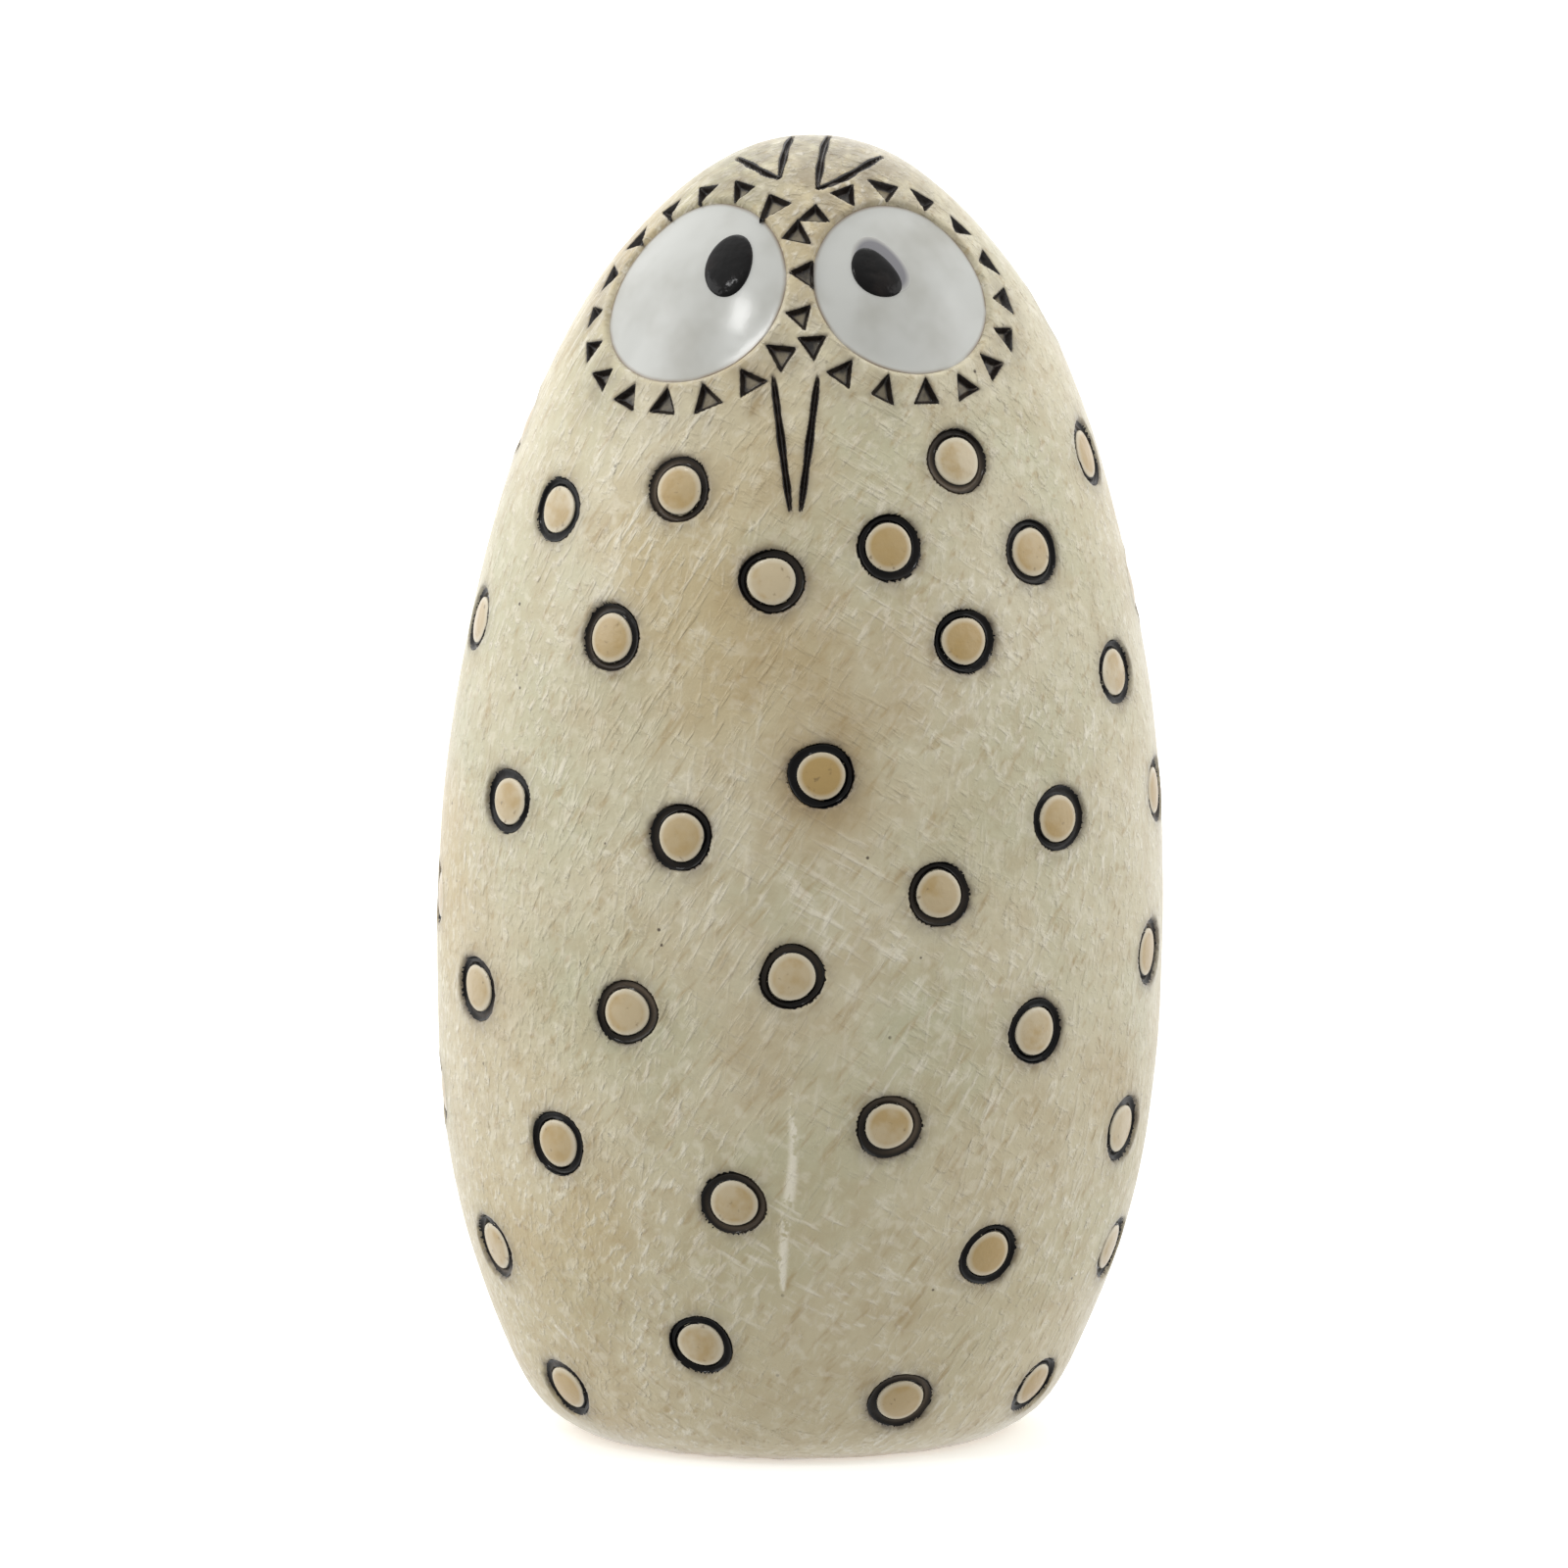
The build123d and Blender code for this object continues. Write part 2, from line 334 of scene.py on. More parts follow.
    def meet(self, starts: Array, ways: Array) -> Array:
        """Follow straight lines from outside until they reach the skin.

        Args:
            starts: a point of each line, outside the skin or close to it.
            ways: the direction of each line.

        Returns:
            Where the lines meet the skin.
        """
        placed = starts.copy()
        for _ in range(self.passes):
            gap, grow = self._gap(placed)
            placed -= (gap / (grow * ways).sum(axis=1))[:, None] * ways
        return placed

    def normals(self, points: Array) -> Array:
        """The outward directions of the skin at points on it."""
        return unit(self._gap(points)[1])

    def relief(self, points: Array) -> Array:
        """How far the hand-worked surface stands above the even skin."""
        foot = smoothstep(0.5, 5.0, points[:, 2])
        broad = self.wobble * waves(points, self.wobble_size, SEED)
        fine = self.ripple * waves(points, self.ripple_size, SEED + 1)
        return foot * (broad + fine - self.inset)


# ---------------------------------------------------------------------------------- places


@dataclass(frozen=True)
class Seat:
    """A place on the skin: its middle, and its own axes out, across and up."""

    middle: Array
    out: Array
    across: Array
    up: Array

    def flat(self, points: Array) -> tuple[Array, Array, Array]:
        """The distances of points from the middle: across, up and out."""
        offset = points - self.middle
        return offset @ self.across, offset @ self.up, offset @ self.out

    def drape(self, skin: Skin, points: Array) -> Array:
        """Lay flat points over the skin.

        Args:
            skin: the figure's skin.
            points: rows of distances across, up and above the skin.

        Returns:
            Their places round the figure.
        """
        starts = self.middle + points[:, :1] * self.across + points[:, 1:2] * self.up
        landed = skin.meet(starts, np.broadcast_to(self.out, starts.shape))
        return landed + skin.normals(landed) * (points[:, 2] + skin.relief(landed))[:, None]


def seat_of(solid: Array, skin: Skin, sunk: float) -> Seat:
    """Find the seat of a flat CAD solid that is sunk in the skin.

    Args:
        solid: its corner points in millimetres.
        skin: the figure's skin.
        sunk: how far its upper side lies under the skin.

    Returns:
        The seat, on the skin, with level across and rising up.
    """
    middle = (solid.max(axis=0) + solid.min(axis=0)) / 2
    out = np.linalg.eigh(np.cov((solid - solid.mean(axis=0)).T))[1][:, 0]
    if out @ skin.normals(middle[None])[0] < 0:
        out = -out
    middle = middle + out * (((solid - middle) @ out).max() + sunk)
    across = unit(np.cross((0.0, 0.0, 1.0), out))
    return Seat(middle, out, across, np.cross(out, across))


# ---------------------------------------------------------------------------------- what is carved


@dataclass
class Carving:
    """What a feature does to the skin around it: how deep it goes, and the colour marks it leaves."""

    depth: Array | float = 0.0
    soot: Array | float = 0.0
    stain: Array | float = 0.0
    wash: Array | float = 0.0
    pale: Array | float = 0.0


MARKS = ("soot", "stain", "wash", "pale")


class Feature:
    """Something that is pressed, cut or brushed on the casting."""

    grain: float = 0.3
    scope: float = 6.0
    middle: Array

    def reach(self, points: Array) -> Array:
        """How far points are from where the feature needs a fine mesh."""
        raise NotImplementedError

    def carve(self, points: Array) -> Carving:
        """What the feature does at points of the skin."""
        raise NotImplementedError


@dataclass
class Spot(Feature):
    """One stamped spot: a ring groove around a low seat for a dot."""

    seat: Seat
    seed: int
    grain: float = 0.27
    scope: float = 5.0
    ring_radius: float = 2.475
    half_width: float = 0.34  # of the groove
    groove_depth: float = 0.85
    wall_run: float = 0.4  # how wide the groove's sloping wall is
    seat_depth: float = 0.32
    lip: float = 0.06  # height of the clay pushed up outside the groove
    lip_at: float = 0.42  # how far it lies from the groove's edge
    lip_width: float = 0.28
    soot_reach: float = 0.5

    def __post_init__(self) -> None:
        """Draw how the hand-pressed ring wavers."""
        self.middle = self.seat.middle
        random = np.random.default_rng(self.seed)
        self.phases = random.uniform(0, 2 * math.pi, 4)
        self.waver = 0.04 + 0.04 * random.random()
        self.fullness = random.uniform(0.82, 1.06)
        self.tone = random.uniform(-1.0, 1.0)
        self.smudge = random.uniform(0.7, 1.15)
        # how much grey-brown shows down the ring's middle: partly thin enamel, partly painted highlight
        self.thin_and_highlight_share = random.uniform(0.0, 1.0) ** 1.5

    def sway(self, turn: Array) -> Array:
        """How far the ring lies outside its true circle, round its turn."""
        first, second = self.phases[:2]
        return self.waver * (np.sin(2 * turn + first) + 0.6 * np.sin(3 * turn + second))

    def width(self, turn: Array) -> Array:
        """How wide the groove is, as a share of its usual width, round its turn."""
        first, second = self.phases[2:]
        return self.fullness * (1 + 0.24 * np.sin(turn + first) + 0.09 * np.sin(4 * turn + second))

    def _from_ring(self, points: Array) -> tuple[Array, Array, Array]:
        """How far out of the groove's middle line points are, its half width, and nearness."""
        across, up, out = self.seat.flat(points)
        turn = np.arctan2(up, across)
        off = np.hypot(across, up) - self.ring_radius - self.sway(turn)
        return off, self.half_width * self.width(turn), np.abs(out) < 4.0

    def reach(self, points: Array) -> Array:
        """How far points are from the groove."""
        off, _, near = self._from_ring(points)
        return np.where(near, np.maximum(np.abs(off) - 0.6, 0.0), 99.0)

    def carve(self, points: Array) -> Carving:
        """Press the stamp into the skin."""
        off, half, near = self._from_ring(points)
        groove = 1 - smoothstep(-self.wall_run / 2, self.wall_run / 2, np.abs(off) - half)
        inside = 1 - smoothstep(-0.1, 0.1, off + half)
        raised = np.exp(-(((off - half - self.lip_at) / self.lip_width) ** 2))
        depth = np.maximum(groove * self.groove_depth, inside * self.seat_depth) - self.lip * raised
        soot = self.smudge * np.exp(-np.maximum(off - half, 0.0) / self.soot_reach) * (off > 0)
        return Carving(depth * near, soot * near, groove * near)


@dataclass
class Notch(Feature):
    """One triangular notch with sloping walls, cut with a small knife."""

    seat: Seat
    corner: float  # the bearing of one corner
    seed: int
    grain: float = 0.19
    scope: float = 3.5
    full_depth: float = 0.78
    wall_run: float = 0.36
    side: float = 2.8
    soot_share: float = 0.6
    soot_reach: float = 0.28

    def __post_init__(self) -> None:
        """Draw how the knife wandered."""
        self.middle = self.seat.middle
        random = np.random.default_rng(self.seed)
        third = 2 * math.pi / 3
        facing = self.corner + math.pi + np.arange(3) * third + random.normal(0, 0.09)
        facing = facing + random.normal(0, 0.07, 3)
        self.facing = np.c_[np.cos(facing), np.sin(facing)]
        even = self.side / (2 * math.sqrt(3))
        self.inner = even * random.uniform(0.9, 1.05) * random.uniform(0.92, 1.07, 3)

    def inside(self, flat: Array) -> Array:
        """How far inside the notch's edge flat points are."""
        return (self.inner - flat @ self.facing.T).min(axis=1)

    def edge(self, ways: Array) -> Array:
        """How far the edge is from the middle in flat directions."""
        toward = np.maximum(ways @ self.facing.T, 1e-6)
        return (self.inner / toward).min(axis=1)

    def depth(self, inside: Array) -> Array:
        """How deep the notch is, by the distance inside its edge."""
        return self.full_depth * smoothstep(-0.08, self.wall_run, inside)

    def _near(self, points: Array) -> tuple[Array, Array]:
        """How far inside the edge points of the skin are, and whether they are near at all."""
        across, up, out = self.seat.flat(points)
        return self.inside(np.c_[across, up]), np.abs(out) < 3.0

    def reach(self, points: Array) -> Array:
        """How far points are from the notch."""
        inside, near = self._near(points)
        return np.where(near, np.maximum(-inside - 0.2, 0.0), 99.0)

    def carve(self, points: Array) -> Carving:
        """Cut the notch into the skin."""
        inside, near = self._near(points)
        soot = self.soot_share * np.exp(-np.maximum(-inside, 0.0) / self.soot_reach)
        return Carving(self.depth(inside) * near, soot * near, smoothstep(-0.05, 0.1, inside) * near)


@dataclass
class Cut(Feature):
    """A long cut that tapers at both ends and follows a line of points on the skin."""

    path: Array
    grain: float = 0.19
    half_width: float = 0.3
    full_depth: float = 0.62
    blunt: float = 0.25  # share of its length over which each end tapers
    point_width: float = 0.25  # width at the very end, as a share of the full width
    ripple: float = 0.15  # how much the width wavers
    soot_reach: float = 0.25
    soot_share: float = 0.65

    def __post_init__(self) -> None:
        """Measure the line that the knife follows."""
        self.middle = self.path.mean(axis=0)
        self.steps = np.linalg.norm(np.diff(self.path, axis=0), axis=1)
        self.length = self.steps.sum()
        self.scope = self.length / 2 + 2.5

    def point(self, along: Array) -> Array:
        """Points of the line, by their share of its length."""
        at = np.r_[0.0, np.cumsum(self.steps)] / self.length
        return np.c_[[np.interp(along, at, self.path[:, axis]) for axis in range(3)]].T

    def _beside(self, points: Array) -> tuple[Array, Array]:
        """The distance of points from the line, and how far along it they are, from 0 to 1."""
        best, along, passed = np.full(len(points), 99.0), np.zeros(len(points)), 0.0
        for start, end, step in zip(self.path[:-1], self.path[1:], self.steps):
            way = (end - start) / step
            share = np.clip((points - start) @ way, 0.0, step)
            away = np.linalg.norm(points - start - share[:, None] * way, axis=1)
            along = np.where(away < best, (passed + share) / self.length, along)
            best = np.minimum(best, away)
            passed += step
        return best, along

    def width(self, along: Array) -> Array:
        """Half the cut's width along its length."""
        ends = np.clip(np.minimum(along, 1 - along) / self.blunt, 0.0, 1.0)
        taper = self.point_width + (1 - self.point_width) * np.sqrt(ends)
        return self.half_width * taper * (1 + self.ripple * np.sin(along * 17.0 + self.length))

    def depth(self, away: Array, width: Array) -> Array:
        """How deep the cut is, by the distance from its line and its half width there."""
        deepest = self.full_depth * (0.4 + 0.6 * width / self.half_width)
        return deepest * (1 - smoothstep(0.15, 1.2, away / width))

    def reach(self, points: Array) -> Array:
        """How far points are from the cut."""
        return np.maximum(self._beside(points)[0] - 0.65, 0.0)

    def carve(self, points: Array) -> Carving:
        """Draw the knife along the line."""
        away, along = self._beside(points)
        width = self.width(along)
        soot = self.soot_share * np.exp(-np.maximum(away - width, 0.0) / self.soot_reach)
        return Carving(self.depth(away, width), soot, 1 - smoothstep(0.7, 1.1, away / width))


@dataclass
class Pool(Feature):
    """The shallow round pool that holds an eye's enamel."""

    seat: Seat
    radius: float
    grain: float = 0.26
    full_depth: float = 1.0
    lip: float = 0.06
    lip_at: float = 0.55
    lip_width: float = 0.3
    soot_share: float = 0.3
    soot_reach: float = 0.35

    def __post_init__(self) -> None:
        """Take the pool's middle and scope."""
        self.middle, self.scope = self.seat.middle, self.radius + 3.0

    def _off(self, points: Array) -> Array:
        """How far points are outside the pool's rim."""
        across, up, out = self.seat.flat(points)
        return np.where(np.abs(out) < 6.0, np.hypot(across, up) - self.radius, 99.0)

    def reach(self, points: Array) -> Array:
        """How far points are from the rim."""
        return np.maximum(np.abs(self._off(points)) - 0.5, 0.0)

    def carve(self, points: Array) -> Carving:
        """Scoop the pool out of the skin."""
        off = self._off(points)
        sunk = 1 - smoothstep(-0.3, 0.3, off)
        raised = self.lip * np.exp(-(((off - self.lip_at) / self.lip_width) ** 2))
        soot = self.soot_share * np.exp(-((off / self.soot_reach) ** 2))
        return Carving(sunk * self.full_depth - raised, soot)


@dataclass
class Vent(Feature):
    """The round hole through the foot that lets the hollow breathe in the kiln."""

    grain: float = 0.3
    scope: float = 5.0
    radius: float = 1.75
    full_depth: float = 4.0
    middle: Array = field(default_factory=lambda: np.zeros(3))

    def _off(self, points: Array) -> Array:
        """How far points are outside the hole."""
        return np.linalg.norm(points - self.middle, axis=1) - self.radius

    def reach(self, points: Array) -> Array:
        """How far points are from the hole's edge."""
        return np.maximum(np.abs(self._off(points)) - 0.3, 0.0)

    def carve(self, points: Array) -> Carving:
        """Pierce the foot."""
        hole = 1 - smoothstep(-0.3, 0.1, self._off(points))
        return Carving(hole * self.full_depth, hole)


@dataclass
class Blush(Feature):
    """A tan stain where the glaze broke thin over the clay."""

    middle: Array
    radius: float
    strength: float
    rise: float = 0.75  # how fast it fades upwards, as a share of how fast it fades sideways

    def __post_init__(self) -> None:
        """Reach as far as the stain can be seen."""
        self.scope = 2.2 * self.radius

    def reach(self, points: Array) -> Array:
        """A stain needs no finer mesh."""
        return np.full(len(points), 99.0)

    def carve(self, points: Array) -> Carving:
        """Stain the glaze."""
        offset = (points - self.middle) * (1.0, 1.0, self.rise)
        away = np.linalg.norm(offset, axis=1) / self.radius
        return Carving(wash=self.strength * np.exp(-(away**2)))


class Smoke(Blush):
    """A grey-brown haze where black enamel was wiped over the glaze."""

    def carve(self, points: Array) -> Carving:
        """Darken the glaze."""
        return Carving(soot=super().carve(points).wash)


@dataclass
class Flake(Cut):
    """A thin raised line where the glaze ran and crawled."""

    grain: float = 0.26
    half_width: float = 0.42
    full_depth: float = -0.06
    blunt: float = 0.3

    def carve(self, points: Array) -> Carving:
        """Let the glaze run along the line."""
        away, along = self._beside(points)
        width = self.width(along)
        there = 1 - smoothstep(0.4, 1.6, away / width)
        return Carving(self.full_depth * there, pale=there)


# ---------------------------------------------------------------------------------- the casting


@dataclass
class Casting:
    """The clay casting with all that is stamped, cut and scooped in it."""

    skin: Skin
    features: Sequence[Feature]
    coarse: float = 1.5  # longest edge on plain skin
    growth: float = 0.55  # how fast edges may grow away from a feature
    overlong: float = 1.4  # how far an edge may be over its wanted length
    first_level: int = 6
    rounds: int = 6
    few: int = 50  # a round that halves fewer edges is the last

    def _near(self, points: Array) -> Iterable[tuple[Feature, Array]]:
        """Each feature with the indices of the points in its scope."""
        for feature in self.features:
            near = np.flatnonzero(np.linalg.norm(points - feature.middle, axis=1) < feature.scope)
            if len(near):
                yield feature, near

    def _wanted(self, points: Array) -> Array:
        """The length an edge may have at points of the skin."""
        wanted = np.full(len(points), self.coarse)
        for feature, near in self._near(points):
            length = feature.grain + self.growth * feature.reach(points[near])
            wanted[near] = np.minimum(wanted[near], length)
        return wanted

    def _refine(self, bm: bmesh.types.BMesh) -> int:
        """Halve the edges of a unit sphere that would be too long on the skin.

        Args:
            bm: the sphere.

        Returns:
            How many edges were halved.
        """
        directions = coordinates(bm.verts)
        ends = np.array([(edge.verts[0].index, edge.verts[1].index) for edge in bm.edges])
        placed = self.skin.on_sphere(directions)
        lengths = np.linalg.norm(placed[ends[:, 0]] - placed[ends[:, 1]], axis=1)
        wanted = self._wanted((placed[ends[:, 0]] + placed[ends[:, 1]]) / 2)
        bm.edges.ensure_lookup_table()
        long_edges = [bm.edges[index] for index in np.flatnonzero(lengths > self.overlong * wanted)]
        bmesh.ops.subdivide_edges(
            bm, edges=long_edges, cuts=1, use_grid_fill=True, use_single_edge=True
        )
        bmesh.ops.triangulate(bm, faces=[face for face in bm.faces if len(face.verts) > 3])
        move_to(bm.verts, unit(coordinates(bm.verts)))
        return len(long_edges)

    def build(self) -> bpy.types.Object:
        """Model the casting.

        Returns:
            The finished object, with the colour marks as point attributes.
        """
        bm = bmesh.new()
        add_ball(bm, self.first_level)
        for _ in range(self.rounds):
            bm.verts.index_update()
            if self._refine(bm) < self.few:
                break
        placed = self.skin.on_sphere(coordinates(bm.verts))
        move_to(bm.verts, placed)
        bm.normal_update()
        outs = np.array([vert.normal[:] for vert in bm.verts])
        depth = np.zeros(len(placed))
        marks = {mark: np.zeros(len(placed)) for mark in MARKS}
        for feature, near in self._near(placed):
            carving = feature.carve(placed[near])
            stronger = np.abs(carving.depth) > np.abs(depth[near])
            depth[near] = np.where(stronger, carving.depth, depth[near])
            for mark, values in marks.items():
                values[near] = np.maximum(values[near], getattr(carving, mark))
        placed += outs * (self.skin.relief(placed) - depth)[:, None]
        move_to(bm.verts, placed * MM)
        return new_object("Clay_casting", bm, marks)


# ---------------------------------------------------------------------------------- spots


TIERS = (
    "nape",
    "collar",
    "shoulder",
    "upper_breast",
    "mantle",
    "lower_breast",
    "back",
    "belly",
    "rump",
    "flank",
    "tail",
    "skirt",
    "hem",
)


@dataclass
class SpotTier:
    """One level of spots round the figure: their enamel rings and their glazed dots."""

    name: str
    skin: Skin
    first_seed: int
    ring_sunk: float = 0.35
    dot_radius: float = 2.1
    dot_top: float = 0.02
    dot_thickness: float = 0.5
    dot_crown: float = 0.1  # how far its edge lies under its middle
    dot_sway: float = 0.8  # how much of the ring's waver it follows
    ring_floor: float = -0.95
    ring_foot: float = 0.42  # half the enamel's width down there
    ring_steps: int = 44
    spots: list[Spot] = field(default_factory=list)

    def __post_init__(self) -> None:
        """Find the tier's spots in the frame."""
        for index, solid in enumerate(islands(f"{self.name}_rings")):
            seat = seat_of(solid, self.skin, self.ring_sunk)
            self.spots.append(Spot(seat, self.first_seed + index))

    def build_rings(self) -> bpy.types.Object:
        """Pour black enamel into the tier's ring grooves: it creeps up their walls."""
        half = Spot.half_width
        surface = [(1.5, -0.1), (1.2, -0.24), (0.8, -0.42), (0.0, -0.52)]
        surface += [(-0.8, -0.44), (-1.2, -0.3), (-1.5, -0.2)]
        profile = [(half * out, height) for out, height in surface]
        profile += [(-self.ring_foot, self.ring_floor), (self.ring_foot, self.ring_floor)]
        bm = bmesh.new()
        thin: list[float] = []
        for spot in self.spots:
            first = len(bm.verts)
            corners = [bm.verts.new((Spot.ring_radius + out, 0.0, height)) for out, height in profile]
            edges = [bm.edges.new((corners[i - 1], corners[i])) for i in range(len(corners))]
            bmesh.ops.spin(
                bm,
                geom=corners + edges,
                cent=(0, 0, 0),
                axis=(0, 0, 1),
                angle=2 * math.pi,
                steps=self.ring_steps,
                use_merge=True,
            )
            bm.verts.ensure_lookup_table()
            made = bm.verts[first:]
            flat = coordinates(made)
            turn = np.arctan2(flat[:, 1], flat[:, 0])
            off = (np.hypot(flat[:, 0], flat[:, 1]) - Spot.ring_radius) * spot.width(turn)
            radius = Spot.ring_radius + off + spot.sway(turn)
            # the thin mark: grey-brown down the groove's middle, partly thin enamel and partly painted
            # highlight
            floor = np.exp(-((off / (0.7 * half)) ** 2)) * (0.8 + 0.6 * np.sin(turn + spot.phases[0]))
            thin += (spot.thin_and_highlight_share * floor).tolist()
            flat[:, 0], flat[:, 1] = radius * np.cos(turn), radius * np.sin(turn)
            move_to(made, spot.seat.drape(self.skin, flat) * MM)
        bmesh.ops.recalc_face_normals(bm, faces=bm.faces)
        return new_object(title(self.name, "enamel rings"), bm, {"thin": np.array(thin)})

    def build_dots(self) -> bpy.types.Object:
        """Drop the tier's flat glazed dots on to their seats."""
        bm = bmesh.new()
        tones, rims = [], []
        for spot in self.spots:
            made, ball = add_ball(bm, 4)
            share = np.hypot(ball[:, 0], ball[:, 1])
            turn = np.arctan2(ball[:, 1], ball[:, 0])
            reach = (self.dot_radius + self.dot_sway * spot.sway(turn)) * share
            rise = bulge(ball[:, 2], 0.5)
            height = self.dot_top + self.dot_thickness * (rise - 1) / 2 - self.dot_crown * share**2
            flat = np.c_[reach * np.cos(turn), reach * np.sin(turn), height]
            move_to(made, spot.seat.drape(self.skin, flat) * MM)
            tones += [spot.tone] * len(made)
            rims += share.tolist()
        marks = {"tone": np.array(tones), "rim": np.array(rims)}
        return new_object(title(self.name, "glazed dots"), bm, marks)


# ---------------------------------------------------------------------------------- eyes


@dataclass
class Pupil:
    """A raised black pupil, laid on an eye's white."""

    name: str
    skin: Skin
    bend: float = 0.0
    top: float = -0.02
    base: float = -0.75
    sunk: float = 0.1
    film: float = 0.06  # half the thickness of the grey wash beside it
    halo_top: float = -0.3  # height of the wash over the skin
    halo_margin: float = 0.4  # how far the wash is wider than the pupil
    halo_shift: tuple[float, float] = (0.5, 0.7)  # how far it lies across and up from the pupil

    def __post_init__(self) -> None:
        """Find the pupil's seat, length, width and turn in the frame."""
        solid = islands(f"{self.name}_pupil")[0]
        self.seat = seat_of(solid, self.skin, self.sunk)
        flat = np.c_[self.seat.flat(solid)[:2]]
        axes = np.linalg.eigh(np.cov((flat - flat.mean(axis=0)).T))[1]
        self.along, self.aside = axes[:, 1], axes[:, 0]
        if self.along[0] < 0:
            self.along = -self.along
        if self.along[0] * self.aside[1] - self.along[1] * self.aside[0] < 0:
            self.aside = -self.aside
        self.half_length = np.abs(flat @ self.along).max()
        self.half_width = np.abs(flat @ self.aside).max()

    def outline(self, ball: Array, margin: float = 0.0) -> Array:
        """Flatten points of a unit ball into the pupil's bean-shaped outline.

        Args:
            ball: points of the unit ball.
            margin: how far the outline is widened, in millimetres.

        Returns:
            Flat places across and up.
        """
        along = ball[:, 0] * (self.half_length + margin)
        aside = ball[:, 1] * (self.half_width + margin)
        aside = aside + self.bend * (along**2 / self.half_length - 0.45 * self.half_length)
        return along[:, None] * self.along + aside[:, None] * self.aside

    def build(self) -> bpy.types.Object:
        """Model the pupil as a low, round-edged drop of enamel."""
        bm = bmesh.new()
        made, ball = add_ball(bm, 5)
        middle, half = (self.top + self.base) / 2, (self.top - self.base) / 2
        flat = np.c_[self.outline(ball), middle + half * bulge(ball[:, 2], 0.7)]
        move_to(made, self.seat.drape(self.skin, flat) * MM)
        return new_object(title(self.name, "pupil"), bm)

    def build_halo(self) -> bpy.types.Object:
        """Wash a thin film of grey enamel out from under the pupil."""
        bm = bmesh.new()
        made, ball = add_ball(bm, 5)
        height = self.halo_top - self.film + self.film * bulge(ball[:, 2], 0.4)
        flat = np.c_[self.outline(ball, self.halo_margin) + self.halo_shift, height]
        rim = np.hypot(ball[:, 0], ball[:, 1])
        move_to(made, self.seat.drape(self.skin, flat) * MM)
        return new_object(title(self.name, "pupil wash"), bm, {"rim": rim})


@dataclass
class Eye:
    """One eye: a pool of white enamel with a pupil, in a ring of stained notches."""

    name: str
    skin: Skin
    first_seed: int
    bend: float
    white_sunk: float = 0.45
    stain_sunk: float = 0.4
    white_top: float = -0.36
    creep: float = 0.24
    creep_width: float = 0.45
    bite: float = 0.12  # how far the enamel goes into the pool's wall
    under: float = 0.1  # how far it goes into the pool's floor

    def __post_init__(self) -> None:
        """Find the eye, its pupil and its notches in the frame."""
        solid = islands(f"{self.name}_eye_enamel")[0]
        self.seat = seat_of(solid, self.skin, self.white_sunk)
        across, up, _ = self.seat.flat(solid)
        self.radius = float(np.percentile(np.hypot(across, up), 97))
        self.pool = Pool(self.seat, self.radius)
        self.pupil = Pupil(self.name, self.skin, self.bend)
        self.notches = []
        for index, solid in enumerate(islands(f"{self.name}_notch_stains")):
            seat = seat_of(solid, self.skin, self.stain_sunk)
            across, up, _ = seat.flat(solid)
            turned = ((across + 1j * up) ** 3).sum()
            self.notches.append(Notch(seat, float(np.angle(turned)) / 3, self.first_seed + index))

    def build_white(self) -> bpy.types.Object:
        """Fill the pool with white enamel, level in the middle and creeping up its rim."""
        bm = bmesh.new()
        made, ball = add_ball(bm, 6)
        share = np.hypot(ball[:, 0], ball[:, 1])
        spread = unit(ball[:, :2]) * (share * (self.radius + self.bite))[:, None]
        top = self.white_top + self.creep * np.exp((share - 1) * self.radius / self.creep_width)
        full = top + self.pool.full_depth + self.under
        flat = np.c_[spread, top - full * (1 - bulge(ball[:, 2], 0.3)) / 2]
        move_to(made, self.seat.drape(self.skin, flat) * MM)
        return new_object(title(self.name, "eye white"), bm, {"rim": share})

    def build_stains(self, lift: float = 0.05, film: float = 0.16) -> bpy.types.Object:
        """Pool thin umber stain in every notch round the eye.

        Args:
            lift: how far the stain's surface stands off the notch's walls.
            film: how far it reaches down into the clay under them.

        Returns:
            All the stains as one piece.
        """
        bm = bmesh.new()
        pits = []
        for notch in self.notches:
            made, ball = add_ball(bm, 4)
            ways = unit(ball[:, :2])
            reach = np.hypot(ball[:, 0], ball[:, 1]) * (notch.edge(ways) - 0.02)
            flat = ways * reach[:, None]
            inside = notch.inside(flat)
            floor = -notch.depth(inside)
            height = np.where(ball[:, 2] > 0, floor + lift, floor - film)
            move_to(made, notch.seat.drape(self.skin, np.c_[flat, height]) * MM)
            pits += inside.tolist()
        return new_object(title(self.name, "notch stains"), bm, {"inside": np.array(pits)})


# ---------------------------------------------------------------------------------- beak and tufts


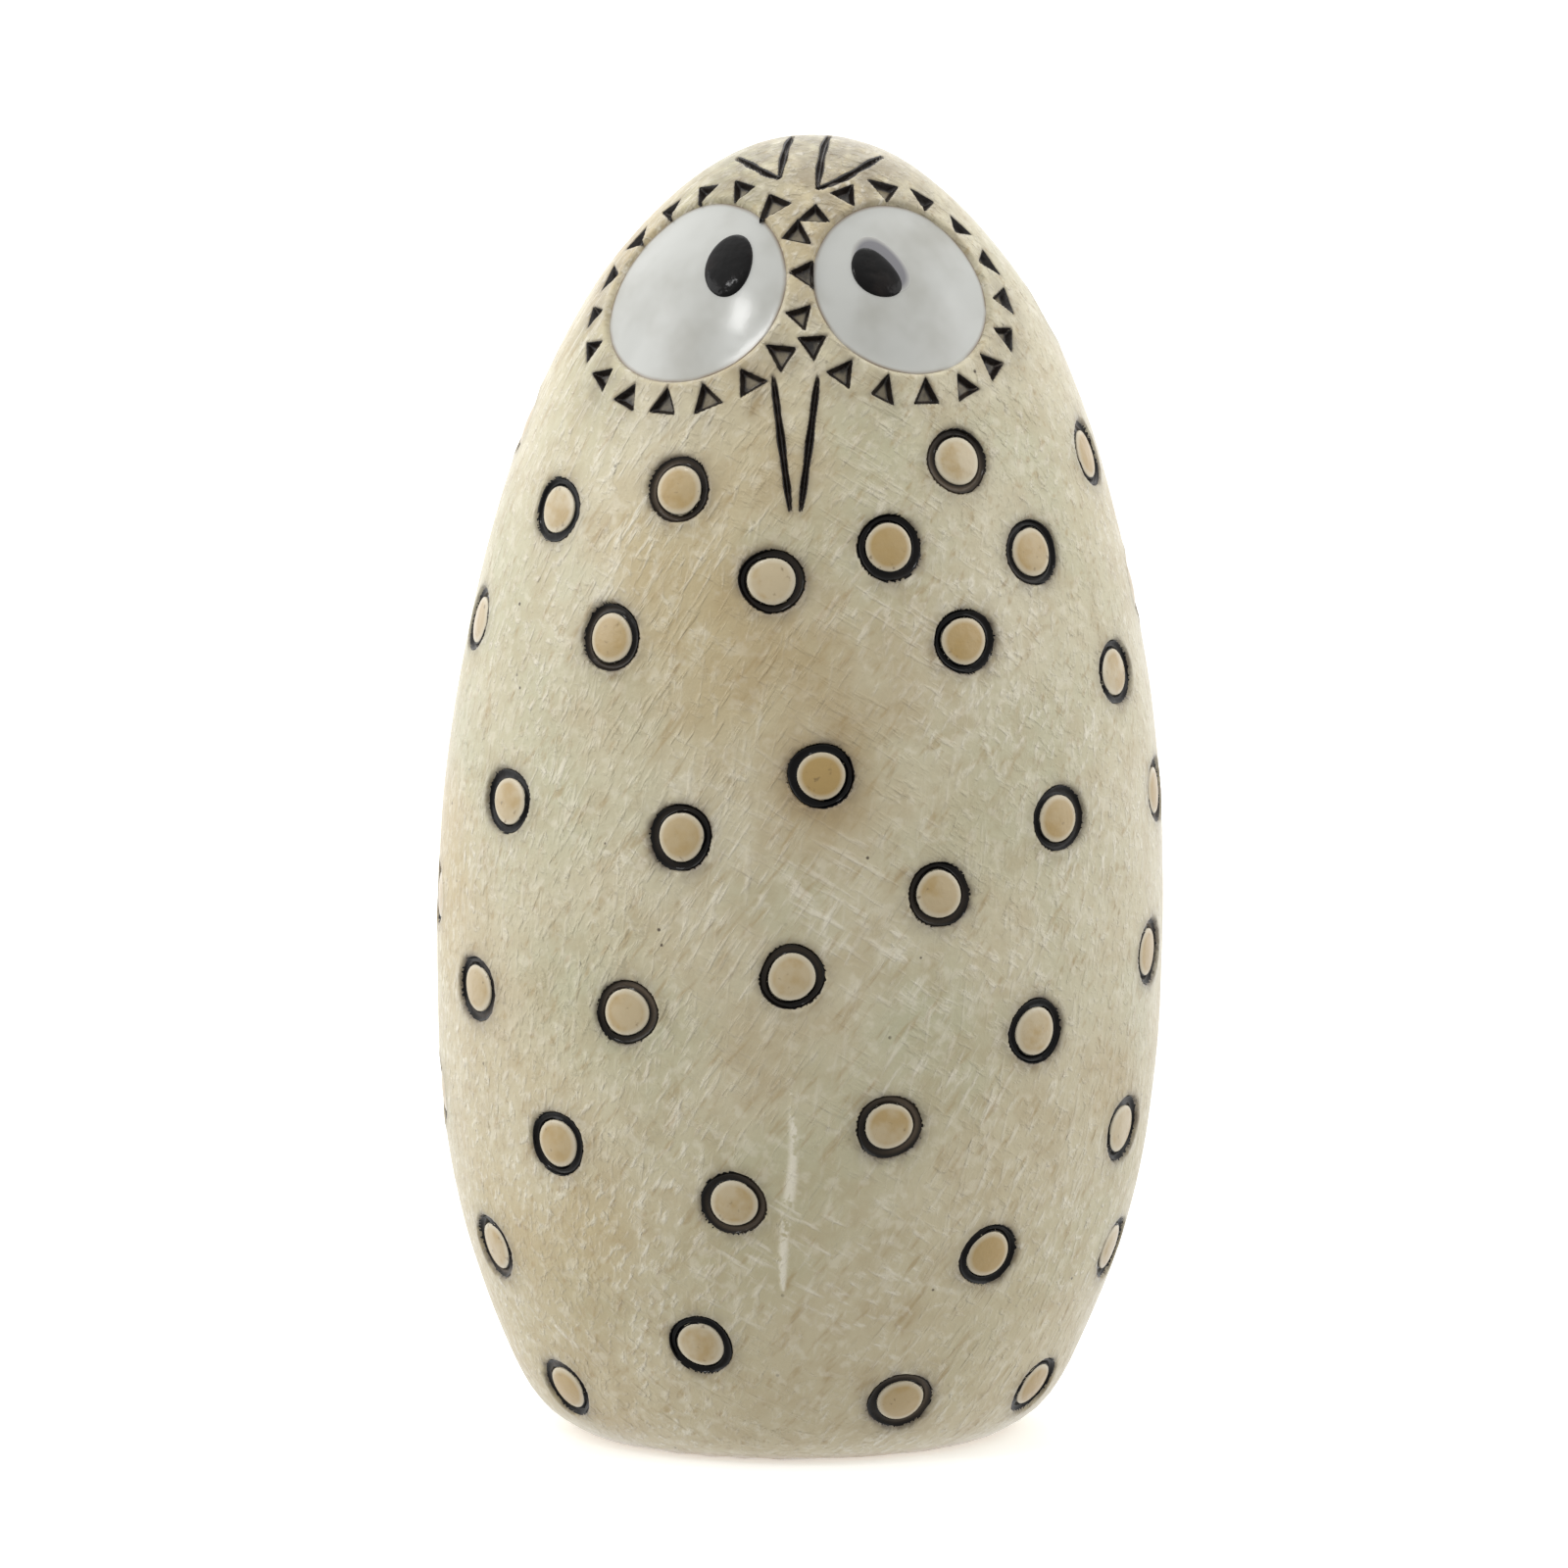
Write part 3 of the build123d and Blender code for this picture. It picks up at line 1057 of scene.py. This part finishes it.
@dataclass
class Stroke:
    """One stained cut, or several that belong together: a side of the beak, or a tuft."""

    name: str
    skin: Skin
    cuts: list[Cut]
    long_steps: int = 56
    wide_steps: int = 8
    end_gap: float = 0.012  # bare share of the length at each end
    look_ahead: float = 0.02  # share of the length over which its heading is measured
    overlap: float = 1.02  # how much wider the stain is than the cut

    def build(self, lift: float = 0.05, film: float = 0.16) -> bpy.types.Object:
        """Pool umber stain along the cuts.

        Args:
            lift: how far the stain's surface stands off the cut's walls.
            film: how thick the stain is.

        Returns:
            The stain of all the cuts as one piece.
        """
        bm = bmesh.new()
        for cut in self.cuts:
            first = len(bm.verts)
            bmesh.ops.create_grid(bm, x_segments=self.long_steps, y_segments=self.wide_steps, size=1.0)
            bm.verts.ensure_lookup_table()
            made = bm.verts[first:]
            grid = coordinates(made)
            along = self.end_gap + (1 - 2 * self.end_gap) * (grid[:, 0] + 1) / 2
            line = cut.point(along)
            heading = unit(cut.point(along + self.look_ahead) - cut.point(along - self.look_ahead))
            out = self.skin.normals(line)
            width = cut.width(along)
            off = grid[:, 1] * self.overlap * width
            side = unit(np.cross(out, heading))
            depth = cut.depth(np.abs(off), width)
            landed = line + side * off[:, None]
            placed = landed + out * (self.skin.relief(line) + lift - depth)[:, None]
            move_to(made, placed * MM)
        bmesh.ops.solidify(bm, geom=bm.faces, thickness=film * MM)
        bmesh.ops.recalc_face_normals(bm, faces=bm.faces)
        return new_object(title(self.name, "stain"), bm)


def smooth_path(corners: Sequence[Sequence[float]], count: int = 14) -> Array:
    """Round a few corner points into an even curve from the first to the last."""
    knots = np.array(corners, float)
    if len(knots) < 3:
        return np.linspace(knots[0], knots[-1], count)
    start, middle, end = knots
    share = np.linspace(0, 1, count)[:, None]
    handle = 2 * middle - (start + end) / 2
    return (1 - share) ** 2 * start + 2 * share * (1 - share) * handle + share**2 * end


@dataclass
class Face:
    """The cuts of the face: the two sides of the beak and the tufts over the eyes."""

    skin: Skin
    left_tuft: tuple = (((7.3, -2.2), (4.7, -6.4), (1.5, -8.6)), ((1.5, -8.6), (2.6, 0.6)))
    right_tuft: tuple = (((-5.6, -2.0), (-3.8, -5.4), (-1.8, -7.3)), ((-1.8, -7.3), (-0.6, 0.8)))

    def _beak_side(self, name: str) -> Cut:
        """The cut of one side of the beak, between the ends of its CAD stain."""
        solid = islands(f"{name}_stain")[0]
        level = solid[:, 2]
        top, tip = solid[level > level.max() - 0.4], solid[level < level.min() + 0.4]
        ends = smooth_path([top.mean(axis=0), tip.mean(axis=0)])
        starts = np.c_[ends[:, 0], np.full(len(ends), -self.skin.half_depth), ends[:, 2]]
        return Cut(self.skin.meet(starts, np.broadcast_to((0.0, 1.0, 0.0), starts.shape)))

    def _tuft_cut(self, corners: Sequence[Sequence[float]]) -> Cut:
        """One stroke of a tuft, drawn over the crown from corners in plan."""
        plan = smooth_path(corners)
        starts = np.c_[plan, np.full(len(plan), self.skin.height)]
        return Cut(self.skin.meet(starts, np.broadcast_to((0.0, 0.0, -1.0), starts.shape)))

    def strokes(self) -> list[Stroke]:
        """All the stained cuts of the face."""
        beak = ("left_beak", "right_beak")
        tufts = {"left_tuft": self.left_tuft, "right_tuft": self.right_tuft}
        found = [Stroke(name, self.skin, [self._beak_side(name)]) for name in beak]
        for name, strokes in tufts.items():
            found.append(Stroke(name, self.skin, [self._tuft_cut(corners) for corners in strokes]))
        return found


# ---------------------------------------------------------------------------------- finishes


def linear(code: str) -> tuple[float, float, float, float]:
    """Turn an sRGB hex colour into linear light with full alpha."""
    shares = [int(code[start : start + 2], 16) / 255 for start in (1, 3, 5)]
    return (*(s / 12.92 if s <= 0.04045 else ((s + 0.055) / 1.055) ** 2.4 for s in shares), 1.0)


def add_node(
    tree: bpy.types.NodeTree, kind: str, inputs: dict | None = None, **settings: object
) -> bpy.types.Node:
    """Add a node with its settings and links.

    Args:
        tree: the node tree it joins.
        kind: the node's type.
        inputs: values for its inputs, or sockets to link to them, by name or number.
        settings: the node's own properties.

    Returns:
        The new node.
    """
    made = tree.nodes.new(kind)
    for name, value in settings.items():
        setattr(made, name, value)
    for name, value in (inputs or {}).items():
        if isinstance(value, bpy.types.NodeSocket):
            tree.links.new(value, made.inputs[name])
        else:
            made.inputs[name].default_value = value
    return made


class Glaze:
    """A fired finish: a shader with its patterns, begun in the same way for all of them."""

    def __init__(self, name: str, code: str, roughness: float, coat: float = 0.0) -> None:
        """Start a material with one glossy shader on it.

        Args:
            name: the material's name.
            code: its ground colour, as sRGB hex.
            roughness: how matt it is.
            coat: how much clear gloss lies over it.
        """
        self.material = bpy.data.materials.new(name)
        self.material.use_nodes = True
        self.tree = self.material.node_tree
        self.tree.nodes.clear()
        self.shader = self.add("ShaderNodeBsdfPrincipled")
        self.tone: bpy.types.NodeSocket | tuple = linear(code)
        self.relief: bpy.types.NodeSocket | None = None
        self.shader.inputs["Base Color"].default_value = self.tone
        self.shader.inputs["IOR"].default_value = 1.5
        self.shader.inputs["Roughness"].default_value = roughness
        self.shader.inputs["Coat Weight"].default_value = coat
        self.shader.inputs["Coat Roughness"].default_value = 0.08
        self.add("ShaderNodeOutputMaterial", {"Surface": self.shader.outputs["BSDF"]})
        self.place = self.add("ShaderNodeTexCoord").outputs["Object"]

    def add(self, kind: str, inputs: dict | None = None, **settings: object) -> bpy.types.Node:
        """Add a node to this finish."""
        return add_node(self.tree, kind, inputs, **settings)

    def cloud(
        self,
        size: float,
        seed: float,
        low: float,
        high: float,
        detail: float = 3.0,
        stretch: tuple = (1.0, 1.0, 1.0),
        turn: float = 0.0,
    ) -> bpy.types.NodeSocket:
        """An uneven pattern between 0 and 1.

        Args:
            size: the width of its patches in millimetres.
            seed: picks one of its patterns.
            low: the noise level that becomes 0.
            high: the noise level that becomes 1.
            detail: how much fine pattern there is in it.
            stretch: how much longer it is along each of its axes.
            turn: how far its upright axis leans to the owl's left, in degrees.

        Returns:
            The pattern's socket.
        """
        leaning = {"Vector": self.place, "Rotation": (0.0, math.radians(turn), 0.0), "Scale": stretch}
        turned = self.add("ShaderNodeMapping", leaning, vector_type="TEXTURE")
        noise = self.add(
            "ShaderNodeTexNoise",
            {"Vector": turned.outputs[0], "W": seed, "Scale": 1 / (size * MM), "Detail": detail},
            noise_dimensions="4D",
        )
        spread = {"Value": noise.outputs[0], "From Min": low, "From Max": high}
        return self.add("ShaderNodeMapRange", spread, interpolation_type="SMOOTHSTEP").outputs[0]

    def fade(
        self, mark: str, start: float, end: float, blend: str = "LINEAR"
    ) -> bpy.types.NodeSocket:
        """How far a mark on the piece's points has come from start to end.

        Args:
            mark: the mark's name.
            start: the value of the mark that becomes 0.
            end: the value of the mark that becomes 1.
            blend: how it runs between them.

        Returns:
            The pattern's socket.
        """
        value = self.add("ShaderNodeAttribute", attribute_name=mark).outputs["Fac"]
        spread = {"Value": value, "From Min": start, "From Max": end}
        return self.add("ShaderNodeMapRange", spread, interpolation_type=blend).outputs[0]

    def toward_foot(self, start: float, end: float) -> bpy.types.NodeSocket:
        """How far places have sunk from one height over the foot to another, in millimetres."""
        level = self.add("ShaderNodeSeparateXYZ", {0: self.place}).outputs["Z"]
        spread = {"Value": level, "From Min": start * MM, "From Max": end * MM}
        return self.add("ShaderNodeMapRange", spread).outputs[0]

    def lay(self, code: str, *shares: bpy.types.NodeSocket | float | str) -> None:
        """Lay a colour over those below it.

        Args:
            code: the colour, as sRGB hex.
            shares: how much it covers, as patterns, values and names of marks that are multiplied.
        """
        factors = []
        for share in shares:
            if isinstance(share, str):
                share = self.add("ShaderNodeAttribute", attribute_name=share).outputs["Fac"]
            factors.append(share)
        cover = factors[0]
        for factor in factors[1:]:
            both = {0: cover, 1: factor}
            cover = self.add("ShaderNodeMath", both, operation="MULTIPLY", use_clamp=True).outputs[0]
        layers = {0: cover, 6: self.tone, 7: linear(code)}
        self.tone = self.add("ShaderNodeMix", layers, data_type="RGBA").outputs[2]
        self.tree.links.new(self.tone, self.shader.inputs["Base Color"])

    def polish(self, pattern: bpy.types.NodeSocket, low: float, high: float) -> None:
        """Let the gloss vary between two roughnesses."""
        spread = self.add("ShaderNodeMapRange", {"Value": pattern, "To Min": low, "To Max": high})
        self.tree.links.new(spread.outputs[0], self.shader.inputs["Roughness"])

    def emboss(self, pattern: bpy.types.NodeSocket, height: float) -> None:
        """Raise fine relief over the relief that is there.

        Args:
            pattern: where it is raised.
            height: how far, in millimetres.
        """
        inputs = {"Height": pattern, "Distance": height * MM, "Strength": 1.0}
        if self.relief is not None:
            inputs["Normal"] = self.relief
        self.relief = self.add("ShaderNodeBump", inputs).outputs[0]
        self.tree.links.new(self.relief, self.shader.inputs["Normal"])


@dataclass(frozen=True)
class BrushedCreamGlaze:
    """Cream satin glaze brushed over buff stoneware: a soft sheen, cloudy cream with tan stains.

    The glaze is thin and uneven, so the eye sees broad clouds, crossing brush strokes, small pits
    and a sooty rim where black enamel bled out of the rings. Painted shade darkens its lower part
    towards the foot.
    """

    cream: str = "#cfc6a8"
    warm_tone_and_foot_shade: str = "#c2b188"
    cool: str = "#b9b897"
    pale: str = "#e8e1cc"
    tan: str = "#a68c5c"
    soot: str = "#5f5245"
    umber: str = "#3b2c20"
    speck: str = "#4a3c2b"
    bisque: str = "#b79f7c"
    cloud_size: float = 26.0
    stroke_size: float = 0.6
    stroke_length: float = 6.5
    mottle_size: float = 2.6
    crumb_size: float = 1.3
    stain_size: float = 6.0
    speck_size: float = 2.4
    grain_size: float = 0.9

    def make(self) -> bpy.types.Material:
        """Mix the glaze."""
        glaze = Glaze("Cream satin glaze on stoneware", self.cream, 0.4, 0.25)
        glaze.lay(self.warm_tone_and_foot_shade, glaze.cloud(self.cloud_size, 1.0, 0.42, 0.68))
        glaze.lay(self.cool, glaze.cloud(0.7 * self.cloud_size, 2.0, 0.45, 0.7), 0.6)
        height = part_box("body_casting")[1][2] / MM
        # painted shade: the warm colour at half strength from a third of the height down to the foot
        glaze.lay(self.warm_tone_and_foot_shade, glaze.toward_foot(0.35 * height, 0.02 * height), 0.5)
        brush = (1.0, 1.0, self.stroke_length)
        rising = glaze.cloud(self.stroke_size, 3.0, 0.5, 0.72, stretch=brush, turn=32.0)
        falling = glaze.cloud(self.stroke_size, 4.0, 0.52, 0.74, stretch=brush, turn=-58.0)
        upright = glaze.cloud(self.stroke_size, 5.0, 0.54, 0.76, stretch=brush, turn=8.0)
        glaze.lay(self.pale, rising, glaze.cloud(14.0, 6.0, 0.4, 0.6), 0.95)
        glaze.lay(self.pale, falling, glaze.cloud(17.0, 7.0, 0.45, 0.62), 0.9)
        glaze.lay(self.pale, upright, 0.4)
        brown = glaze.cloud(1.2 * self.stroke_size, 8.0, 0.54, 0.74, stretch=brush, turn=38.0)
        glaze.lay(self.tan, brown, 0.55)
        glaze.lay(self.tan, glaze.cloud(self.mottle_size, 15.0, 0.44, 0.66, 5.0), 0.22)
        glaze.lay(self.pale, glaze.cloud(self.crumb_size, 9.0, 0.52, 0.66, 5.0), 0.35)
        glaze.lay(self.tan, "wash", glaze.cloud(self.stain_size, 10.0, 0.25, 0.7, 6.0))
        glaze.lay(self.speck, self._specks(glaze), glaze.cloud(7.0, 11.0, 0.52, 0.6), 0.9)
        glaze.lay(self.pale, "pale", glaze.cloud(1.1, 16.0, 0.42, 0.5, 4.0))
        glaze.lay(self.soot, "soot", glaze.cloud(1.6, 12.0, 0.2, 0.62, 5.0))
        glaze.lay(self.umber, "stain")
        glaze.lay(self.bisque, glaze.toward_foot(0.9, 0.3))
        glaze.polish(glaze.cloud(9.0, 13.0, 0.3, 0.7), 0.34, 0.5)
        for strokes, relief in ((rising, 0.09), (falling, 0.09), (upright, 0.06)):
            glaze.emboss(strokes, relief)
        glaze.emboss(glaze.cloud(self.grain_size, 14.0, 0.3, 0.7, 4.0), 0.04)
        return glaze.material

    def _specks(self, glaze: Glaze) -> bpy.types.NodeSocket:
        """Small round specks, scattered evenly."""
        spread = {"Vector": glaze.place, "Scale": 1 / (self.speck_size * MM)}
        away = glaze.add("ShaderNodeTexVoronoi", spread).outputs["Distance"]
        dots = {"Value": away, "From Min": 0.085, "From Max": 0.045}
        return glaze.add("ShaderNodeMapRange", dots, interpolation_type="SMOOTHSTEP").outputs[0]


@dataclass(frozen=True)
class WhiteEnamel:
    """Opaque white enamel, fired glossy: clear highlights, a faint brown line at the rim."""

    white: str = "#bfc0bb"
    shade: str = "#a9a8a0"
    line: str = "#7d6a52"

    def make(self) -> bpy.types.Material:
        """Mix the enamel."""
        glaze = Glaze("White gloss enamel", self.white, 0.2, 0.2)
        glaze.lay(self.shade, glaze.cloud(7.0, 1.0, 0.4, 0.75))
        edge = glaze.fade("rim", 0.945, 1.0, "SMOOTHSTEP")
        glaze.lay(self.line, edge, glaze.cloud(4.0, 2.0, 0.2, 0.6))
        glaze.emboss(glaze.cloud(3.0, 3.0, 0.3, 0.7, 1.0), 0.02)
        return glaze.material


@dataclass(frozen=True)
class BlackEnamel:
    """Black enamel, fired to a wet gloss: sharp highlights on near black. Grey-brown down the middle
    of some rings is partly thin enamel and partly a painted highlight.
    """

    black: str = "#030202"
    worn: str = "#1b1512"
    thin_enamel_and_highlight: str = "#66594a"

    def make(self) -> bpy.types.Material:
        """Mix the enamel."""
        glaze = Glaze("Black gloss enamel", self.black, 0.14)
        glaze.lay(self.worn, glaze.cloud(2.5, 1.0, 0.5, 0.75))
        # partly thin enamel and partly painted highlight: grey-brown along the middle of the groove
        glaze.lay(self.thin_enamel_and_highlight, "thin", 0.8)
        glaze.shader.inputs["Specular IOR Level"].default_value = 0.22
        glaze.emboss(glaze.cloud(1.2, 2.0, 0.3, 0.7, 2.0), 0.03)
        return glaze.material


@dataclass(frozen=True)
class GreyWash:
    """Black enamel thinned to a grey film over white: soft grey that fades to its edge."""

    grey: str = "#77767a"
    edge: str = "#b3b2ac"

    def make(self) -> bpy.types.Material:
        """Mix the wash."""
        glaze = Glaze("Thinned grey enamel wash", self.grey, 0.15, 0.4)
        glaze.lay(self.edge, glaze.fade("rim", 0.82, 1.0))
        return glaze.material


@dataclass(frozen=True)
class OchreGlaze:
    """Ochre glaze dropped on by brush: from pale peach to strong ochre, a painted highlight at the rim.
    """

    ochre: str = "#b0935a"
    peach: str = "#c8b999"
    # the colour of the painted highlight round each dot's rim
    rim: str = "#ddd5bf"
    speck: str = "#6d5636"

    def make(self) -> bpy.types.Material:
        """Mix the glaze."""
        glaze = Glaze("Ochre satin glaze", self.peach, 0.32, 0.3)
        glaze.lay(self.ochre, glaze.fade("tone", -1.0, 1.4))
        glaze.lay(self.ochre, glaze.cloud(2.2, 1.0, 0.42, 0.66), 0.75)
        # painted highlight: a pale band laid all round the dot's rim
        glaze.lay(self.rim, glaze.fade("rim", 0.74, 0.97), 0.75)
        glaze.lay(self.speck, glaze.cloud(0.6, 2.0, 0.62, 0.75), 0.6)
        glaze.emboss(glaze.cloud(0.9, 3.0, 0.3, 0.7), 0.03)
        return glaze.material


@dataclass(frozen=True)
class UmberStain:
    """Umber oxide stain pooled in a cut: nearly black on its walls, worn to buff on its floor."""

    dark: str = "#1c140e"
    buff: str = "#95896f"

    def make(self) -> bpy.types.Material:
        """Mix the stain."""
        glaze = Glaze("Umber oxide stain", self.dark, 0.42, 0.2)
        glaze.lay(self.buff, glaze.fade("inside", 0.3, 0.5), glaze.cloud(2.2, 1.0, 0.35, 0.6, 4.0))
        glaze.emboss(glaze.cloud(0.5, 2.0, 0.3, 0.7), 0.04)
        return glaze.material


class Finish(Enum):
    """The finishes, by the record's material slots."""

    CLAY = "glazed_clay"
    WHITE = "white_enamel"
    BLACK = "black_enamel"
    GREY = "grey_wash"
    OCHRE = "ochre_glaze"
    UMBER = "umber_stain"


RECIPES = {
    Finish.CLAY: BrushedCreamGlaze(),
    Finish.WHITE: WhiteEnamel(),
    Finish.BLACK: BlackEnamel(),
    Finish.GREY: GreyWash(),
    Finish.OCHRE: OchreGlaze(),
    Finish.UMBER: UmberStain(),
}


# ---------------------------------------------------------------------------------- the studio


@dataclass
class Studio:
    """A white table in a soft light tent, with the camera a little above the owl."""

    height: float
    camera_up: float = 10.0
    camera_away: float = 1532.0
    lens: float = 400.0
    aim: tuple = (-1.38, 0.0, 57.4)
    table_size: float = 6000.0
    front_light: float = 0.56
    back_light: float = 1.5
    below_light: float = 0.8
    left_fade: float = 0.88
    table_glow: float = 0.4
    lights_away: float = 700.0
    softboxes: dict[str, tuple] = field(
        default_factory=lambda: {
            "Left softbox": (75.0, 25.0, 420.0, 0.6),
            "Right softbox": (-75.0, 25.0, 420.0, 0.8),
            "Top softbox": (180.0, 62.0, 500.0, 0.8),
            "Window glint": (-38.0, 48.0, 90.0, 0.35),
        }
    )

    def _softbox(self, name: str, turn: float, up: float, size: float, power: float) -> None:
        """Hang a soft light that faces the owl.

        Args:
            name: the light's name.
            turn: its bearing, with 0 in front and 90 on the owl's left, in degrees.
            up: its height over the horizon in degrees.
            size: the width of its square face in millimetres.
            power: its power in watts.
        """
        light = bpy.data.lights.new(name, "AREA")
        light.size = size * MM
        light.energy = power
        lamp = bpy.data.objects.new(name, light)
        bearing, rise = math.radians(turn), math.radians(up)
        level = math.cos(rise)
        way = Vector((math.sin(bearing) * level, -math.cos(bearing) * level, math.sin(rise)))
        lamp.location = way * self.lights_away * MM + Vector((0, 0, self.height * MM / 2))
        lamp.rotation_euler = way.to_track_quat("Z", "Y").to_euler()
        bpy.context.scene.collection.objects.link(lamp)

    def _tent(self) -> None:
        """Light the room from all sides, weaker in front, where the tent is open, and from below."""
        world = bpy.data.worlds.new("Light tent")
        bpy.context.scene.world = world
        world.use_nodes = True
        tree = world.node_tree
        tree.nodes.clear()
        way = add_node(tree, "ShaderNodeTexCoord").outputs["Generated"]
        sides = add_node(tree, "ShaderNodeSeparateXYZ", {0: way}).outputs
        spreads = (
            (sides["Y"], -0.95, 0.25, self.front_light, self.back_light),
            (sides["X"], -0.3, 0.9, 1.0, self.left_fade),
            (sides["Z"], 0.1, -0.5, 1.0, self.below_light),
        )
        level: bpy.types.NodeSocket | float = 1.0
        for side, start, end, first, last in spreads:
            span = {"Value": side, "From Min": start, "From Max": end, "To Min": first, "To Max": last}
            share = add_node(tree, "ShaderNodeMapRange", span, interpolation_type="SMOOTHSTEP")
            both = {0: level, 1: share.outputs[0]}
            level = add_node(tree, "ShaderNodeMath", both, operation="MULTIPLY").outputs[0]
        soft = add_node(tree, "ShaderNodeBackground", {"Color": linear("#ffffff"), "Strength": level})
        white = add_node(tree, "ShaderNodeBackground", {"Color": linear("#ffffff"), "Strength": 1.0})
        seen = add_node(tree, "ShaderNodeLightPath").outputs["Is Camera Ray"]
        both = add_node(tree, "ShaderNodeMixShader", {0: seen, 1: soft.outputs[0], 2: white.outputs[0]})
        add_node(tree, "ShaderNodeOutputWorld", {0: both.outputs[0]})

    def _table(self) -> bpy.types.Object:
        """Lay the white table."""
        bm = bmesh.new()
        bmesh.ops.create_grid(bm, x_segments=1, y_segments=1, size=self.table_size * MM / 2)
        table = new_object("Table", bm)
        paper = Glaze("White matt paper", "#f4f4f2", 0.8)
        paper.shader.inputs["Emission Color"].default_value = linear("#ffffff")
        paper.shader.inputs["Emission Strength"].default_value = self.table_glow
        table.data.materials.append(paper.material)
        table.visible_diffuse = False
        table.visible_glossy = False
        return table

    def build(self) -> None:
        """Set up the table, the lights and the camera."""
        self._table()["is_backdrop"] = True
        self._tent()
        for name, setting in self.softboxes.items():
            self._softbox(name, *setting)
        camera = bpy.data.objects.new("Camera", bpy.data.cameras.new("Camera"))
        camera.data.lens = self.lens
        rise = math.radians(self.camera_up)
        back = Vector((0.0, -math.cos(rise), math.sin(rise)))
        camera.location = (Vector(self.aim) + back * self.camera_away) * MM
        camera.rotation_euler = back.to_track_quat("Z", "Y").to_euler()
        bpy.context.scene.collection.objects.link(camera)
        bpy.context.scene.camera = camera
        bpy.context.scene.view_settings.view_transform = "Standard"


# ---------------------------------------------------------------------------------- all together


@dataclass
class Owl:
    """The whole figure: the casting, its spots, its eyes and the cuts of its face."""

    skin: Skin = field(default_factory=Skin)
    strong_tone: float = 1.6  # of the one dot that is all ochre
    stained_share: float = 0.4  # of the spots that have a tan stain near them
    stain_stray: float = 3.0  # how far those stains lie from their spots
    haze_size: float = 2.3  # of the haze round a notch
    tuft_haze: float = 0.62

    def __post_init__(self) -> None:
        """Mix the finishes, and find every spot, eye and cut in the frame."""
        self.finishes = {kind: recipe.make() for kind, recipe in RECIPES.items()}
        self.tiers = [SpotTier(name, self.skin, 100 * (at + 1)) for at, name in enumerate(TIERS)]
        self.spots = [spot for tier in self.tiers for spot in tier.spots]
        self.eyes = [Eye("left", self.skin, 3000, 0.16), Eye("right", self.skin, 4000, 0.05)]
        self.strokes = Face(self.skin).strokes()

    def _dress(self, piece: bpy.types.Object, finish: Finish, *nodes: str) -> None:
        """Give a piece its finish and put it in place of its CAD nodes."""
        settle(piece, finish.value, self.finishes[finish], *nodes)

    def _brushwork(self) -> list[Feature]:
        """The stains, hazes and runs in the glaze, placed by the beak, spots, notches and tufts."""
        random = np.random.default_rng(SEED)
        beak = self.strokes[0].cuts[0].path
        tip = (beak[-1] + self.strokes[1].cuts[0].path[-1]) / 2
        lower_breast = next(tier for tier in self.tiers if tier.name == "lower_breast")
        strong = min(lower_breast.spots, key=lambda spot: spot.middle[1])
        strong.tone, strong.thin_and_highlight_share = self.strong_tone, 0.0
        between = 0.4 * tip + 0.6 * strong.middle + (0.5, 0.0, 0.0)
        found = [Blush(tip, 6.0, 0.45), Blush(strong.middle, 5.0, 1.0), Blush(between, 8.5, 0.75)]
        for spot in self.spots:
            if random.random() < self.stained_share:
                shifted = spot.middle + random.normal(0, self.stain_stray, 3)
                found.append(Blush(shifted, random.uniform(3.0, 7.0), random.uniform(0.2, 0.55)))
        for eye in self.eyes:
            for notch in eye.notches:
                found.append(Smoke(notch.middle, self.haze_size, random.uniform(0.15, 0.55)))
        for stroke in self.strokes[2:]:
            for cut in stroke.cuts:
                found.append(Smoke(cut.middle, cut.length, self.tuft_haze))
        found.append(self._glaze_run())
        return found

    def _glaze_run(self, bottom: float = 17.0, top: float = 35.0, steps: int = 14) -> Flake:
        """The wavering line in the glaze, down the lower front.

        Args:
            bottom: the height of its lower end in millimetres.
            top: the height of its upper end in millimetres.
            steps: how many points it is drawn with.

        Returns:
            The line, on the skin.
        """
        heights = np.linspace(bottom, top, steps)
        across = -1.0 + 0.5 * np.sin(heights / 4.0)
        starts = np.c_[across, np.full(steps, -self.skin.half_depth), heights]
        return Flake(self.skin.meet(starts, np.broadcast_to((0.0, 1.0, 0.0), starts.shape)))

    def build(self) -> None:
        """Model and dress every piece."""
        carved: list[Feature] = [*self.spots, *(eye.pool for eye in self.eyes), Vent()]
        carved += [notch for eye in self.eyes for notch in eye.notches]
        carved += [cut for stroke in self.strokes for cut in stroke.cuts]
        casting = Casting(self.skin, carved + self._brushwork())
        self._dress(casting.build(), Finish.CLAY, "body_casting")
        for tier in self.tiers:
            self._dress(tier.build_rings(), Finish.BLACK, f"{tier.name}_rings")
            self._dress(tier.build_dots(), Finish.OCHRE, f"{tier.name}_dots")
        for eye in self.eyes:
            self._dress(eye.build_white(), Finish.WHITE, f"{eye.name}_eye_enamel")
            self._dress(eye.pupil.build(), Finish.BLACK, f"{eye.name}_pupil")
            self._dress(eye.build_stains(), Finish.UMBER, f"{eye.name}_notch_stains")
        self._dress(self.eyes[0].pupil.build_halo(), Finish.GREY, "left_pupil_halo")
        for stroke in self.strokes:
            self._dress(stroke.build(), Finish.UMBER, f"{stroke.name}_stain")


def main() -> None:
    """Build the owl in its studio."""
    logging.basicConfig(level=logging.INFO, format="%(name)s %(message)s")
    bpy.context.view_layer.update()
    owl = Owl()
    owl.build()
    Studio(owl.skin.height).build()
    visual_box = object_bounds()
    low, high = ([round(value / MM, 2) for value in corner] for corner in visual_box)
    LOG.info("visual model from %s to %s", low, high)


if __name__ == "__main__":
    main()
